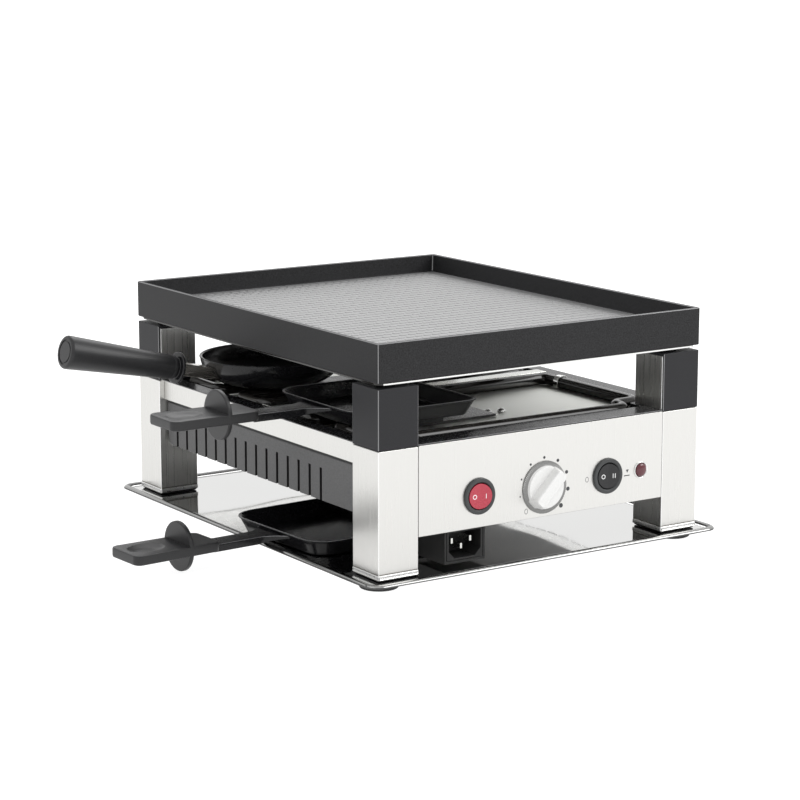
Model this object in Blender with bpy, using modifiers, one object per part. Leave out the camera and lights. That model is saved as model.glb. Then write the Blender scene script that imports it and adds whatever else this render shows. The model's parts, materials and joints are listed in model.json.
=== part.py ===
"""Table grill with a lift-off griddle plate, two raclette pans and a small wok.

Four square legs carry a sheet-metal housing with the controls, a black deck with two heated
recesses, and, on top, a frame with the upper heating element and the cast griddle plate.
The whole stands on a polished tray. Lengths are in metres, +Z is up and the front faces -Y.
The origin is the middle of the footprint of everything, pan handles included, on the table.
"""

import math

import bmesh
import bpy
from mathutils import Matrix, Vector

# Clearance between two pieces that touch, and how far a cutter runs past what it cuts
GAP = 0.0003
OVERRUN = 0.002

# Body: the square made by the outer faces of the legs
BODY_WIDTH = 0.2500
BODY_DEPTH = 0.3066
HALF_WIDTH = BODY_WIDTH / 2
HALF_DEPTH = BODY_DEPTH / 2

# Rubber feet under the tray
FOOT_RADIUS = 0.0090
FOOT_HEIGHT = 0.0056
FOOT_CHAMFER = 0.0010
FOOT_INSET_X = 0.0210
FOOT_INSET_Y = 0.0250

# Polished base tray with a raised, rolled rim
TRAY_MARGIN_X = 0.0120
TRAY_MARGIN_Y = 0.0117
TRAY_CORNER = 0.0095
TRAY_SHEET = 0.0006
TRAY_RIM_WIDTH = 0.0050
TRAY_RIM_SLOPE = 0.0013
TRAY_RIM_HEIGHT = 0.0017
TRAY_EDGE_RISE = 0.0003
TRAY_WIDTH = BODY_WIDTH + 2 * TRAY_MARGIN_X
TRAY_DEPTH = BODY_DEPTH + 2 * TRAY_MARGIN_Y
TRAY_BOTTOM = FOOT_HEIGHT + GAP
TRAY_FLOOR = TRAY_BOTTOM + TRAY_SHEET

# Heights of the housing: the inlet box sets the room between the tray and the panels
INLET_LIFT = 0.0025
INLET_BOX_HEIGHT = 0.0222
PANEL_HEIGHT = 0.0570
COVER_HEIGHT = 0.0379
INLET_BOX_BOTTOM = TRAY_FLOOR + INLET_LIFT
PANEL_BOTTOM = INLET_BOX_BOTTOM + INLET_BOX_HEIGHT
PANEL_TOP = PANEL_BOTTOM + PANEL_HEIGHT
LEG_TOP = PANEL_TOP + COVER_HEIGHT

# Legs: a square steel post with a black cover round its upper outer corner
LEG_SIZE = 0.0291
LEG_WALL = 0.0012
LEG_REVEAL = 0.0015
COVER_WALL = 0.0015
LEG_BOTTOM = TRAY_FLOOR + LEG_REVEAL
PAD_RADIUS = 0.0060
PAD_HEIGHT = 0.0016

# Glides: plugs in the open bottom of the legs
GLIDE_SIZE = 0.0140
GLIDE_PLUG_HEIGHT = 0.0100
GLIDE_RECESS = 0.0006

# Front and back panels, side bands and slotted vent skirts
PANEL_SHEET = 0.0015
PANEL_HALF = HALF_WIDTH - LEG_SIZE - GAP
SIDE_INSET = 0.0040
SIDE_SHEET = 0.0010
BAND_HEIGHT = 0.0137
SKIRT_SHEET = 0.0018
SKIRT_DROP = 0.0115
SKIRT_HEIGHT = 0.0337
SKIRT_CORNER = 0.0060
SKIRT_END_GAP = 0.0022
SLOT_COUNT = 15
SLOT_PITCH = 0.0134
SLOT_WIDTH = 0.0020
SLOT_HEIGHT = 0.0210
SLOT_REAR_MARGIN = 0.0130
SIDE_HALF = HALF_DEPTH - LEG_SIZE - GAP
SKIRT_TOP = PANEL_TOP - SKIRT_DROP
SKIRT_BOTTOM = SKIRT_TOP - SKIRT_HEIGHT
BAND_FACE = HALF_WIDTH - SIDE_INSET
SKIRT_FACE = BAND_FACE - SIDE_SHEET - GAP

# Bottom cover: a shallow black pan between the panels, its sides sloping up to the vents
BOTTOM_WALL = 0.0015
BOTTOM_HEIGHT = 0.0092
VENT_GAP = 0.0080
SIDE_SLOPE = 0.0250
KEEL_STEP = 0.0010
BOTTOM_Z = PANEL_BOTTOM + GAP
BOTTOM_HALF_X = SKIRT_FACE - SKIRT_SHEET - VENT_GAP

# Deck: black pressed tray with two recesses, over one steel floor
DECK_SHEET = 0.0006
DECK_EDGE_INSET_X = 0.0010
DECK_EDGE_INSET_Y = 0.0005
DECK_FRONT_FLAT = 0.0180
DECK_SIDE_FLAT = 0.0115
DIVIDER_WIDTH = 0.0126
RECESS_DEPTH = 0.0061
RECESS_WALL = 0.0010
RECESS_CORNER = 0.0030
LEG_MARGIN = 0.0030
FLOOR_SHEET = 0.0008
FLOOR_LEDGE = 0.0030
STRIP_SHEET = 0.0006
STRIP_MARGIN = 0.0010
DECK_BOTTOM = PANEL_TOP + GAP
DECK_TOP = DECK_BOTTOM + DECK_SHEET
DECK_HALF_X = HALF_WIDTH - DECK_EDGE_INSET_X
DECK_HALF_Y = HALF_DEPTH - DECK_EDGE_INSET_Y
RECESS_HALF_X = DECK_HALF_X - DECK_SIDE_FLAT
RECESS_OUTER_Y = DECK_HALF_Y - DECK_FRONT_FLAT
RECESS_INNER_Y = DIVIDER_WIDTH / 2
DECK_FLOOR = DECK_TOP - RECESS_DEPTH

# Lower heating elements: one tube round each recess, its ends in a terminal box
LOWER_TUBE_RADIUS = 0.00395
LOWER_TUBE_MARGIN = 0.0073
LOWER_TUBE_BEND = 0.0060
BOX_LEFT_SHARE = 0.62
BOX_RIGHT_SHARE = 0.27
BOX_OUTER_SHARE = 0.605
BOX_INNER_SHARE = 0.26
BOX_ENDS_SHARES = (0.53, 0.335)
TONGUE_SHARE = 0.10
TONGUE_SHEET = 0.0016
LOWER_TUBE_Z = DECK_FLOOR + GAP + LOWER_TUBE_RADIUS
LOWER_TUBE_TOP = LOWER_TUBE_Z + LOWER_TUBE_RADIUS
CLIP_SHEET = 0.0008
CLIP_WIDTH = 0.0050
CLIP_OFFSET = 0.0180
SCREW_RADIUS = 0.0026
SCREW_DOME = 0.0016
SCREW_SHARES = ((0.125, 0.512), (0.209, 0.527))

# Upper heater: a sheet frame with two cross bars, a tube and its terminal block
FRAME_SHEET = 0.0012
FRAME_INSET = 0.0014
FRAME_CORNER = 0.0060
FRAME_BOTTOM = LEG_TOP + PAD_HEIGHT + GAP
FRAME_TOP = FRAME_BOTTOM + FRAME_SHEET
BAR_WIDTH = 0.0120
BAR_DROP = 0.0015
BAR_OVERLAP = 0.0120
BAR_SHARE = 0.49
UPPER_TUBE_RADIUS = 0.00325
UPPER_TUBE_BEND = 0.0185
UPPER_TUBE_Z = FRAME_BOTTOM + FRAME_SHEET / 2 + GAP + UPPER_TUBE_RADIUS
UPPER_ENDS_HALF = 0.0140
UPPER_REAR_SHARE = 0.90
UPPER_TURN_SHARE = 0.75
UPPER_FRONT_SHARE = 0.83
TERMINAL_HALF_X = 0.0260
TERMINAL_LENGTH = 0.0260
TERMINAL_HEIGHT = 0.0075
TERMINAL_BEVEL = 0.0012

# Griddle plate: a shallow cast tray with a deep skirt and ribs on its floor
PLATE_OVERHANG = 0.0004
PLATE_HEIGHT = 0.0245
PLATE_CORNER = 0.0015
WELL_CORNER = 0.0012
PLATE_WELL = 0.0130
PLATE_FLOOR = 0.0025
PLATE_WALL = 0.0022
PLATE_DRAFT = 0.0012
PLATE_WIDTH = BODY_WIDTH + 2 * PLATE_OVERHANG
PLATE_DEPTH = BODY_DEPTH + 2 * PLATE_OVERHANG
PLATE_BOTTOM = FRAME_TOP + GAP
PLATE_TOP = PLATE_BOTTOM + PLATE_HEIGHT
COOKING_Z = PLATE_TOP - PLATE_WELL
RIB_PITCH = 0.0080
RIB_WIDTH = 0.0042
RIB_TOP_WIDTH = 0.0024
RIB_HEIGHT = 0.0009
RIB_MARGIN = 0.0050

# Controls on the front panel, their heights measured from its lower edge
CONTROL_RISE = 0.0200
CONTROL_Z = PANEL_BOTTOM + CONTROL_RISE
SWITCH_SHARE = 0.5282
SWITCH_X = SWITCH_SHARE * PANEL_HALF
BEZEL_RADIUS = 0.01165
BEZEL_FLANGE = 0.0018
BEZEL_ROUND = 0.0007
BEZEL_BARREL_RADIUS = 0.0100
BEZEL_BARREL = 0.0140
BEZEL_BACK = 0.0020
ROCKER_RADIUS = 0.0081
ROCKER_CLEARANCE = 0.00035
ROCKER_EDGE = 0.0012
ROCKER_DISH = 0.0008
ROCKER_NOSE = 0.0018
ROCKER_NOSE_HALF = 0.0020
ROCKER_PROUD = 0.0005
ROCKER_TILT = math.radians(7)
KNOB_RISE = 0.0191
KNOB_Z = PANEL_BOTTOM + KNOB_RISE
KNOB_RADIUS = 0.0170
KNOB_FACE_RADIUS = 0.0136
KNOB_BASE = 0.0030
KNOB_EDGE = 0.0006
GRIP_LENGTH = 0.0296
GRIP_WIDTH = 0.0108
GRIP_TOP_LENGTH = 0.0268
GRIP_TOP_WIDTH = 0.0086
GRIP_HEIGHT = 0.0058
GRIP_ROUND = 0.0012
GRIP_CORNER_SHARE = 1 / 3
GRIP_ANGLE = math.radians(45)
SHAFT_RADIUS = 0.0030
SHAFT_REACH = 0.0050
SHAFT_INSIDE = 0.0120
THERMOSTAT_RADIUS = 0.0170
THERMOSTAT_LENGTH = 0.0200
THERMOSTAT_NOSE_RADIUS = 0.0070
THERMOSTAT_NOSE = 0.0030
PILOT_MARGIN = 0.0176
PILOT_X = PANEL_HALF - PILOT_MARGIN
PILOT_RISE = 0.0205
PILOT_Z = PANEL_BOTTOM + PILOT_RISE
PILOT_RADIUS = 0.00455
PILOT_RING_RADIUS = 0.0056
PILOT_BARREL_RADIUS = 0.0051
PILOT_FLANGE = 0.0008
PILOT_LENGTH = 0.0100
PILOT_DOME = 0.0014

# Appliance inlet, in its own box under the housing
INLET_X = -0.0575
INLET_SETBACK = 0.0050
INLET_BOX_WIDTH = 0.0310
INLET_BOX_DEPTH = 0.0300
INLET_WALL = 0.0019
INLET_BODY_WIDTH = 0.0272
INLET_BODY_HEIGHT = 0.0192
INLET_BODY_DEPTH = 0.0210
SOCKET_WIDTH = 0.0240
SOCKET_HEIGHT = 0.0165
SOCKET_DEPTH = 0.0170
SOCKET_CHAMFER = 0.0045
PIN_SPACING = 0.0140
PIN_RISE = 0.0020
PIN_WIDTH = 0.0020
PIN_HEIGHT = 0.0040
PIN_LENGTH = 0.0125
PIN_ROOT = 0.0010

# Raclette pans: a rounded square dish, a channel arm and a flat grip with a guard disc
PAN_LENGTH = 0.0940
PAN_WIDTH = 0.1030
PAN_HEIGHT = 0.0107
PAN_TAPER = 0.0045
PAN_CORNER = 0.0180
PAN_WALL = 0.0012
PAN_FOOT_ROUND = 0.0015
PAN_LIP = 0.0010
PAN_LIP_HEIGHT = 0.0008
ARM_WIDTH = 0.0160
ARM_LENGTH = 0.0473
ARM_HEIGHT = 0.0050
ARM_WALL = 0.0014
ARM_DROP = 0.0006
GRIP_SLAB_LENGTH = 0.0625
GRIP_SLAB_WIDTH = 0.0335
GRIP_SLAB_THICKNESS = 0.0065
GRIP_SLAB_CORNER = 0.0060
GRIP_SLAB_RISE = 0.0020
GRIP_SLAB_BEVEL = 0.0010
GUARD_RADIUS = 0.0160
GUARD_THICKNESS = 0.0030
GUARD_SHARE = 0.35
GUARD_LIFT = 0.0005
DISH_LENGTH = 0.0110
DISH_WIDTH = 0.0090
DISH_DEPTH = 0.0022
DISH_SHARE = 0.76
UPPER_PAN_EDGE = 0.0125
UPPER_PAN_Y = -0.0590
LOWER_PAN_MARGIN = 0.0050
LOWER_PAN_Y = -0.0353
LOWER_PAN_YAW = math.radians(3)

# Small wok with a tilted handle on a steel channel
WOK_X = -0.0710
WOK_Y = 0.0630
WOK_BASE_RADIUS = 0.0260
WOK_RIM_RADIUS = 0.0490
WOK_HEIGHT = 0.0190
WOK_WALL = 0.0014
WOK_REACH = 0.0720
WOK_HANDLE_RISE = 0.0165
WOK_HANDLE_TILT = math.radians(13)
WOK_HANDLE_LENGTH = 0.0850
WOK_HANDLE_THIN = 0.0080
WOK_HANDLE_THICK = 0.0110
WOK_HANDLE_ROUND = 0.0050
COLLAR_FLANGE_RADIUS = 0.0108
COLLAR_FLANGE = 0.0024
COLLAR_RADIUS = 0.0070
COLLAR_LENGTH = 0.0040
CHANNEL_WIDTH = 0.0130
CHANNEL_HEIGHT = 0.0080
CHANNEL_WALL = 0.0014
CHANNEL_LENGTH = 0.0300

# Faces round the round pieces
FINE_STEPS = 28
COARSE_STEPS = 16
CORNER_STEPS = 4
BEND_STEPS = 3
WALL_STEPS = 5
SHARP_ANGLE = math.radians(35)
MERGE_DISTANCE = 0.00001

# The pan handle that reaches furthest left and the tray's right edge bound the object, and the
# origin lies midway between them; in depth the tray reaches furthest both ways
LOWER_PAN_X = LOWER_PAN_MARGIN + PAN_LENGTH / 2 - TRAY_WIDTH / 2
HANDLE_END = PAN_LENGTH / 2 + ARM_LENGTH + GRIP_SLAB_LENGTH
HANDLE_CORNER = GRIP_SLAB_WIDTH / 2 - GRIP_SLAB_CORNER
LEFT_REACH = (
    HANDLE_END - GRIP_SLAB_CORNER
) * math.cos(LOWER_PAN_YAW) + HANDLE_CORNER * math.sin(LOWER_PAN_YAW) + GRIP_SLAB_CORNER
SHIFT_X = (LEFT_REACH - LOWER_PAN_X - TRAY_WIDTH / 2) / 2

for old in list(bpy.data.objects):
    bpy.data.objects.remove(old)

parts = bpy.data.collections.new("table_grill_parts")
cutters = bpy.data.collections.new("cutters")
bpy.context.scene.collection.children.link(parts)
bpy.context.scene.collection.children.link(cutters)


def material(name, colour, metallic, roughness):
    """A Principled material in one colour."""
    made = bpy.data.materials.new(name)
    made.use_nodes = True
    shader = made.node_tree.nodes["Principled BSDF"]
    shader.inputs["Base Color"].default_value = (*colour, 1)
    shader.inputs["Metallic"].default_value = metallic
    shader.inputs["Roughness"].default_value = roughness
    made.diffuse_color = (*colour, 1)
    return made


BRUSHED = material("brushed_steel", (0.60, 0.59, 0.57), 1, 0.32)
MIRROR = material("polished_steel", (0.78, 0.78, 0.77), 1, 0.08)
SATIN = material("satin_steel", (0.62, 0.62, 0.59), 1, 0.45)
COATED = material("black_coating", (0.022, 0.022, 0.024), 0, 0.42)
CAST = material("nonstick_cast", (0.045, 0.045, 0.048), 0, 0.55)
PLASTIC = material("black_plastic", (0.03, 0.03, 0.032), 0, 0.38)
SWITCH_GREY = material("bezel_plastic", (0.055, 0.056, 0.06), 0, 0.4)
RED = material("red_rocker", (0.62, 0.015, 0.02), 0, 0.25)
LENS = material("red_lens", (0.35, 0.01, 0.015), 0, 0.12)
SILVER = material("silver_knob", (0.72, 0.72, 0.70), 0, 0.35)
RUBBER = material("black_rubber", (0.02, 0.02, 0.02), 0, 0.8)
CERAMIC = material("white_ceramic", (0.75, 0.72, 0.66), 0, 0.5)
ELEMENT = material("element_steel", (0.07, 0.065, 0.06), 1, 0.5)


def empty(name, location, parent=None, rotation=(0, 0, 0)):
    """An empty that carries the pieces placed in its own frame."""
    made = bpy.data.objects.new(name, None)
    made.location = location
    made.rotation_euler = rotation
    made.parent = parent
    parts.objects.link(made)
    return made


grill = empty("table_grill", (SHIFT_X, 0, 0))


def part(name, mesh, colour, parent=grill, location=(0, 0, 0), rotation=(0, 0, 0)):
    """A named piece of the grill."""
    made = bpy.data.objects.new(name, mesh)
    mesh.name = name
    mesh.materials.clear()
    mesh.materials.append(colour)
    made.parent = parent
    made.location = location
    made.rotation_euler = rotation
    parts.objects.link(made)
    return made


def shape(target, operation, mesh, location=None, rotation=None):
    """Join a mesh to a piece, cut it away or keep the overlap; it lies in the piece's frame."""
    tool = bpy.data.objects.new(target.name + "_tool", mesh)
    tool.parent = target.parent
    tool.location = target.location if location is None else location
    tool.rotation_euler = target.rotation_euler if rotation is None else rotation
    tool.hide_render = True
    tool.display_type = "WIRE"
    cutters.objects.link(tool)
    step = target.modifiers.new(operation.lower(), "BOOLEAN")
    step.operation = operation
    step.solver = "EXACT"
    step.object = tool
    return tool


def cut(target, mesh, location=None, rotation=None):
    """Take a mesh away from a piece."""
    return shape(target, "DIFFERENCE", mesh, location, rotation)


def join(target, mesh, location=None, rotation=None):
    """Fuse a mesh with a piece."""
    return shape(target, "UNION", mesh, location, rotation)


def bevel(target, width, segments=2, angle=SHARP_ANGLE):
    """Round the sharp edges of a piece."""
    step = target.modifiers.new("bevel", "BEVEL")
    step.width = width
    step.segments = segments
    step.limit_method = "ANGLE"
    step.angle_limit = angle
    return step


def smooth(mesh):
    """Shade a mesh smooth up to its sharp edges."""
    mesh.shade_smooth()
    mesh.set_sharp_from_angle(angle=SHARP_ANGLE)
    return mesh


def mesh_from(bm):
    """The finished mesh of a bmesh, its faces pointing out."""
    bmesh.ops.recalc_face_normals(bm, faces=bm.faces)
    mesh = bpy.data.meshes.new("shape")
    bm.to_mesh(mesh)
    bm.free()
    return smooth(mesh)


def evaluated(made):
    """The mesh that an object's modifiers or curve settings make; the object goes."""
    bpy.context.scene.collection.objects.link(made)
    bpy.context.view_layer.update()
    graph = bpy.context.evaluated_depsgraph_get()
    mesh = bpy.data.meshes.new_from_object(made.evaluated_get(graph))
    bpy.data.objects.remove(made)
    bm = bmesh.new()
    bm.from_mesh(mesh)
    bmesh.ops.remove_doubles(bm, verts=bm.verts, dist=MERGE_DISTANCE)
    bpy.data.meshes.remove(mesh)
    return mesh_from(bm)


def block(low, high):
    """A box between two opposite corners."""
    low, high = Vector(low), Vector(high)
    size = high - low
    bm = bmesh.new()
    bmesh.ops.create_cube(bm, size=1)
    bmesh.ops.scale(bm, vec=[abs(length) for length in size], verts=bm.verts)
    bmesh.ops.translate(bm, vec=(low + high) / 2, verts=bm.verts)
    return mesh_from(bm)


def ball(radii, centre, steps=COARSE_STEPS):
    """A sphere stretched to three radii."""
    bm = bmesh.new()
    bmesh.ops.create_uvsphere(bm, u_segments=steps, v_segments=steps // 2, radius=1)
    bmesh.ops.scale(bm, vec=radii, verts=bm.verts)
    bmesh.ops.translate(bm, vec=centre, verts=bm.verts)
    return mesh_from(bm)


def turned(profile, steps=FINE_STEPS):
    """A solid of revolution about Z; the profile of (radius, height) runs down its outer side."""
    mesh = bpy.data.meshes.new("profile")
    points = [(radius, 0, height) for radius, height in profile]
    mesh.from_pydata(points, [(i, i + 1) for i in range(len(points) - 1)], [])
    if profile[0][0] > 0:
        mesh.clear_geometry()
        edges = [(i, (i + 1) % len(points)) for i in range(len(points))]
        mesh.from_pydata(points, edges, [])
    made = bpy.data.objects.new("turned", mesh)
    screw = made.modifiers.new("screw", "SCREW")
    screw.steps = steps
    screw.render_steps = steps
    screw.use_merge_vertices = True
    screw.merge_threshold = MERGE_DISTANCE
    return evaluated(made)


def rod(radius, low, high, steps=FINE_STEPS):
    """A plain cylinder about Z between two heights."""
    return turned([(0, high), (radius, high), (radius, low), (0, low)], steps)


def flat(outlines, thickness):
    """A plate of the given closed outlines, holes included, thick about the XY plane."""
    curve = bpy.data.curves.new("outline", "CURVE")
    curve.dimensions = "2D"
    curve.fill_mode = "BOTH"
    curve.extrude = thickness / 2
    for outline in outlines:
        spline = curve.splines.new("POLY")
        spline.points.add(len(outline) - 1)
        for point, (x, y) in zip(spline.points, outline):
            point.co = (x, y, 0, 1)
        spline.use_cyclic_u = True
    return evaluated(bpy.data.objects.new("flat", curve))


def tube(points, radius, resolution=2):
    """A round bar along a route of points."""
    curve = bpy.data.curves.new("route", "CURVE")
    curve.dimensions = "3D"
    curve.bevel_depth = radius
    curve.bevel_resolution = resolution
    curve.use_fill_caps = True
    spline = curve.splines.new("POLY")
    spline.points.add(len(points) - 1)
    for point, place in zip(spline.points, points):
        point.co = (*place, 1)
    return evaluated(bpy.data.objects.new("tube", curve))


def placed(mesh, location=(0, 0, 0), rotation=None):
    """A mesh turned and moved within its own frame."""
    turn = Matrix.Identity(4) if rotation is None else rotation.to_4x4()
    mesh.transform(Matrix.Translation(location) @ turn)
    return mesh


def rectangle(half_x, half_y, radius, steps=CORNER_STEPS):
    """Points round a rectangle with round corners, anticlockwise."""
    points = []
    for quarter in range(4):
        middle = math.pi / 2 * quarter + math.pi / 4
        side_x = math.copysign(half_x - radius, math.cos(middle))
        side_y = math.copysign(half_y - radius, math.sin(middle))
        for step in range(steps + 1):
            angle = math.pi / 2 * (quarter + step / steps)
            points.append((side_x + radius * math.cos(angle), side_y + radius * math.sin(angle)))
    return points


def level(outline, height):
    """An outline lifted to a height."""
    return [Vector((x, y, height)) for x, y in outline]


def loft(rings):
    """A closed skin through rings of as many points each, from the lowest up."""
    bm = bmesh.new()
    loops = [[bm.verts.new(point) for point in ring] for ring in rings]
    for lower, upper in zip(loops, loops[1:]):
        for i in range(len(lower)):
            bm.faces.new((lower[i - 1], lower[i], upper[i], upper[i - 1]))
    bm.faces.new(list(reversed(loops[0])))
    bm.faces.new(loops[-1])
    return mesh_from(bm)


def rounded_route(corners, radius):
    """A route through right-angled corners, each rounded by a quarter circle."""
    corners = [Vector(corner) for corner in corners]
    route = [corners[0]]
    for before, corner, after in zip(corners, corners[1:], corners[2:]):
        back = (before - corner).normalized()
        ahead = (after - corner).normalized()
        centre = corner + (back + ahead) * radius
        for step in range(BEND_STEPS + 1):
            angle = math.pi / 2 * step / BEND_STEPS
            route.append(centre - (ahead * math.cos(angle) + back * math.sin(angle)) * radius)
    route.append(corners[-1])
    return route


FACING_FRONT = (math.pi / 2, 0, 0)
CORNERS = {
    "front_left": (-1, -1),
    "front_right": (1, -1),
    "rear_left": (-1, 1),
    "rear_right": (1, 1),
}


def make_tray():
    """Polished tray: its underside lofted out to the rolled rim, and its top side back in."""
    half_x, half_y = TRAY_WIDTH / 2, TRAY_DEPTH / 2
    underside = [
        (TRAY_RIM_WIDTH, 0),
        (TRAY_RIM_WIDTH - TRAY_RIM_SLOPE, TRAY_RIM_HEIGHT),
        (TRAY_RIM_SLOPE, TRAY_RIM_HEIGHT),
        (0, TRAY_EDGE_RISE),
    ]
    top_side = [(inset, rise + TRAY_SHEET) for inset, rise in reversed(underside)]
    rings = []
    for inset, rise in underside + top_side:
        outline = rectangle(half_x - inset, half_y - inset, TRAY_CORNER - inset)
        rings.append(level(outline, TRAY_BOTTOM + rise))
    part("base_tray", loft(rings), MIRROR)


def make_rubber_foot(corner, side_x, side_y):
    """Rubber disc under one corner of the tray."""
    low_radius = FOOT_RADIUS - FOOT_CHAMFER
    profile = [
        (0, FOOT_HEIGHT),
        (FOOT_RADIUS, FOOT_HEIGHT),
        (FOOT_RADIUS, FOOT_CHAMFER),
        (low_radius, 0),
        (0, 0),
    ]
    place = (
        side_x * (TRAY_WIDTH / 2 - FOOT_INSET_X),
        side_y * (TRAY_DEPTH / 2 - FOOT_INSET_Y),
        0,
    )
    part(corner + "_rubber_foot", turned(profile, COARSE_STEPS), RUBBER, location=place)


def make_leg(corner, side_x, side_y):
    """Steel post, its black cover with the pad on top, and the glide in its bottom."""
    outer_x, outer_y = side_x * HALF_WIDTH, side_y * HALF_DEPTH
    inner_x, inner_y = outer_x - side_x * LEG_SIZE, outer_y - side_y * LEG_SIZE
    skin = COVER_WALL + GAP
    post_x, post_y = outer_x - side_x * skin, outer_y - side_y * skin
    post_top = LEG_TOP - skin
    post = part(
        corner + "_leg",
        block((inner_x, inner_y, LEG_BOTTOM), (outer_x, outer_y, PANEL_TOP - GAP)),
        BRUSHED,
    )
    neck_bottom = PANEL_TOP - GAP - OVERRUN
    join(post, block((inner_x, inner_y, neck_bottom), (post_x, post_y, post_top)))
    hollow_low = (
        inner_x + side_x * LEG_WALL,
        inner_y + side_y * LEG_WALL,
        LEG_BOTTOM - OVERRUN,
    )
    hollow_high = (post_x - side_x * LEG_WALL, post_y - side_y * LEG_WALL, post_top - LEG_WALL)
    cut(post, block(hollow_low, hollow_high))

    cover = part(
        corner + "_leg_cover",
        block((inner_x, inner_y, PANEL_TOP), (outer_x, outer_y, LEG_TOP)),
        COATED,
    )
    inside_low = (inner_x - side_x * OVERRUN, inner_y - side_y * OVERRUN, PANEL_TOP - OVERRUN)
    inside_high = (outer_x - side_x * COVER_WALL, outer_y - side_y * COVER_WALL, LEG_TOP - COVER_WALL)
    cut(cover, block(inside_low, inside_high))
    middle = ((inner_x + outer_x) / 2, (inner_y + outer_y) / 2, 0)
    join(cover, rod(PAD_RADIUS, LEG_TOP - COVER_WALL / 2, LEG_TOP + PAD_HEIGHT, COARSE_STEPS), middle)

    plug_low = LEG_BOTTOM + GLIDE_RECESS
    glide = part(
        corner + "_glide",
        block(
            (hollow_low[0] + side_x * GAP, hollow_low[1] + side_y * GAP, plug_low),
            (hollow_high[0] - side_x * GAP, hollow_high[1] - side_y * GAP, plug_low + GLIDE_PLUG_HEIGHT),
        ),
        PLASTIC,
    )
    half = GLIDE_SIZE / 2
    join(
        glide,
        block((-half, -half, TRAY_FLOOR + GAP), (half, half, plug_low + GLIDE_PLUG_HEIGHT / 2)),
        middle,
    )


def make_panels():
    """Front panel with the holes for the controls, and the plain back panel."""
    face = -HALF_DEPTH
    front = part(
        "front_panel",
        block((-PANEL_HALF, face, PANEL_BOTTOM), (PANEL_HALF, face + PANEL_SHEET, PANEL_TOP)),
        BRUSHED,
    )
    holes = (
        (-SWITCH_X, CONTROL_Z, BEZEL_BARREL_RADIUS),
        (SWITCH_X, CONTROL_Z, BEZEL_BARREL_RADIUS),
        (PILOT_X, PILOT_Z, PILOT_BARREL_RADIUS),
        (0, KNOB_Z, SHAFT_RADIUS),
    )
    for x, z, radius in holes:
        hole = rod(radius + GAP, -PANEL_SHEET - OVERRUN, OVERRUN)
        cut(front, hole, (x, face, z), FACING_FRONT)
    part(
        "back_panel",
        block((-PANEL_HALF, -face - PANEL_SHEET, PANEL_BOTTOM), (PANEL_HALF, -face, PANEL_TOP)),
        BRUSHED,
    )


def make_side(side, sign):
    """Steel band under the deck and the slotted black skirt behind its lower edge."""
    band_low = (sign * BAND_FACE, -SIDE_HALF, PANEL_TOP - BAND_HEIGHT)
    band_high = (sign * (BAND_FACE - SIDE_SHEET), SIDE_HALF, PANEL_TOP)
    part(side + "_side_band", block(band_low, band_high), BRUSHED)

    rear = SIDE_HALF - SKIRT_END_GAP
    outline = [(-SIDE_HALF, SKIRT_TOP), (-SIDE_HALF, SKIRT_BOTTOM)]
    last_slot = rear - SLOT_REAR_MARGIN
    for slot in range(SLOT_COUNT):
        middle = last_slot - (SLOT_COUNT - 1 - slot) * SLOT_PITCH
        slot_top = SKIRT_BOTTOM + SLOT_HEIGHT
        for y, z in (
            (-SLOT_WIDTH / 2, SKIRT_BOTTOM),
            (-SLOT_WIDTH / 2, slot_top),
            (SLOT_WIDTH / 2, slot_top),
            (SLOT_WIDTH / 2, SKIRT_BOTTOM),
        ):
            outline.append((middle + y, z))
    for step in range(CORNER_STEPS + 1):
        angle = math.pi / 2 * step / CORNER_STEPS
        outline.append((
            rear - SKIRT_CORNER + SKIRT_CORNER * math.sin(angle),
            SKIRT_BOTTOM + SKIRT_CORNER - SKIRT_CORNER * math.cos(angle),
        ))
    outline.append((rear, SKIRT_TOP))
    skirt = flat([outline], SKIRT_SHEET)
    upright = Matrix(((0, 0, 1), (1, 0, 0), (0, 1, 0)))
    place = (sign * (SKIRT_FACE - SKIRT_SHEET / 2), 0, 0)
    part(side + "_vent_skirt", placed(skirt, rotation=upright), PLASTIC, location=place)


def cross_outline(inset, slope):
    """The plan of the bottom cover: a rectangle with the corners left out for the legs."""
    half_x, half_y = BOTTOM_HALF_X - slope - inset, HALF_DEPTH - PANEL_SHEET - GAP - inset
    notch_x, notch_y = BOTTOM_HALF_X - SIDE_SLOPE - KEEL_STEP - inset, SIDE_HALF - inset
    quarter = [(half_x, notch_y), (notch_x, notch_y), (notch_x, half_y)]
    outline = []
    for sign_x, sign_y, order in ((1, 1, 1), (-1, 1, -1), (-1, -1, 1), (1, -1, -1)):
        outline += [(sign_x * x, sign_y * y) for x, y in quarter[::order]]
    return outline


def make_bottom_cover():
    """Shallow pan that closes the housing from below."""
    rim = BOTTOM_Z + BOTTOM_HEIGHT
    outer = [
        level(cross_outline(0, SIDE_SLOPE), BOTTOM_Z),
        level(cross_outline(0, 0), rim - BOTTOM_WALL),
        level(cross_outline(0, 0), rim),
    ]
    inner = [
        level(cross_outline(BOTTOM_WALL, SIDE_SLOPE), BOTTOM_Z + BOTTOM_WALL),
        level(cross_outline(BOTTOM_WALL, 0), rim),
        level(cross_outline(BOTTOM_WALL, 0), rim + OVERRUN),
    ]
    cover = part("bottom_cover", loft(outer), PLASTIC)
    cut(cover, loft(inner))


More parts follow.
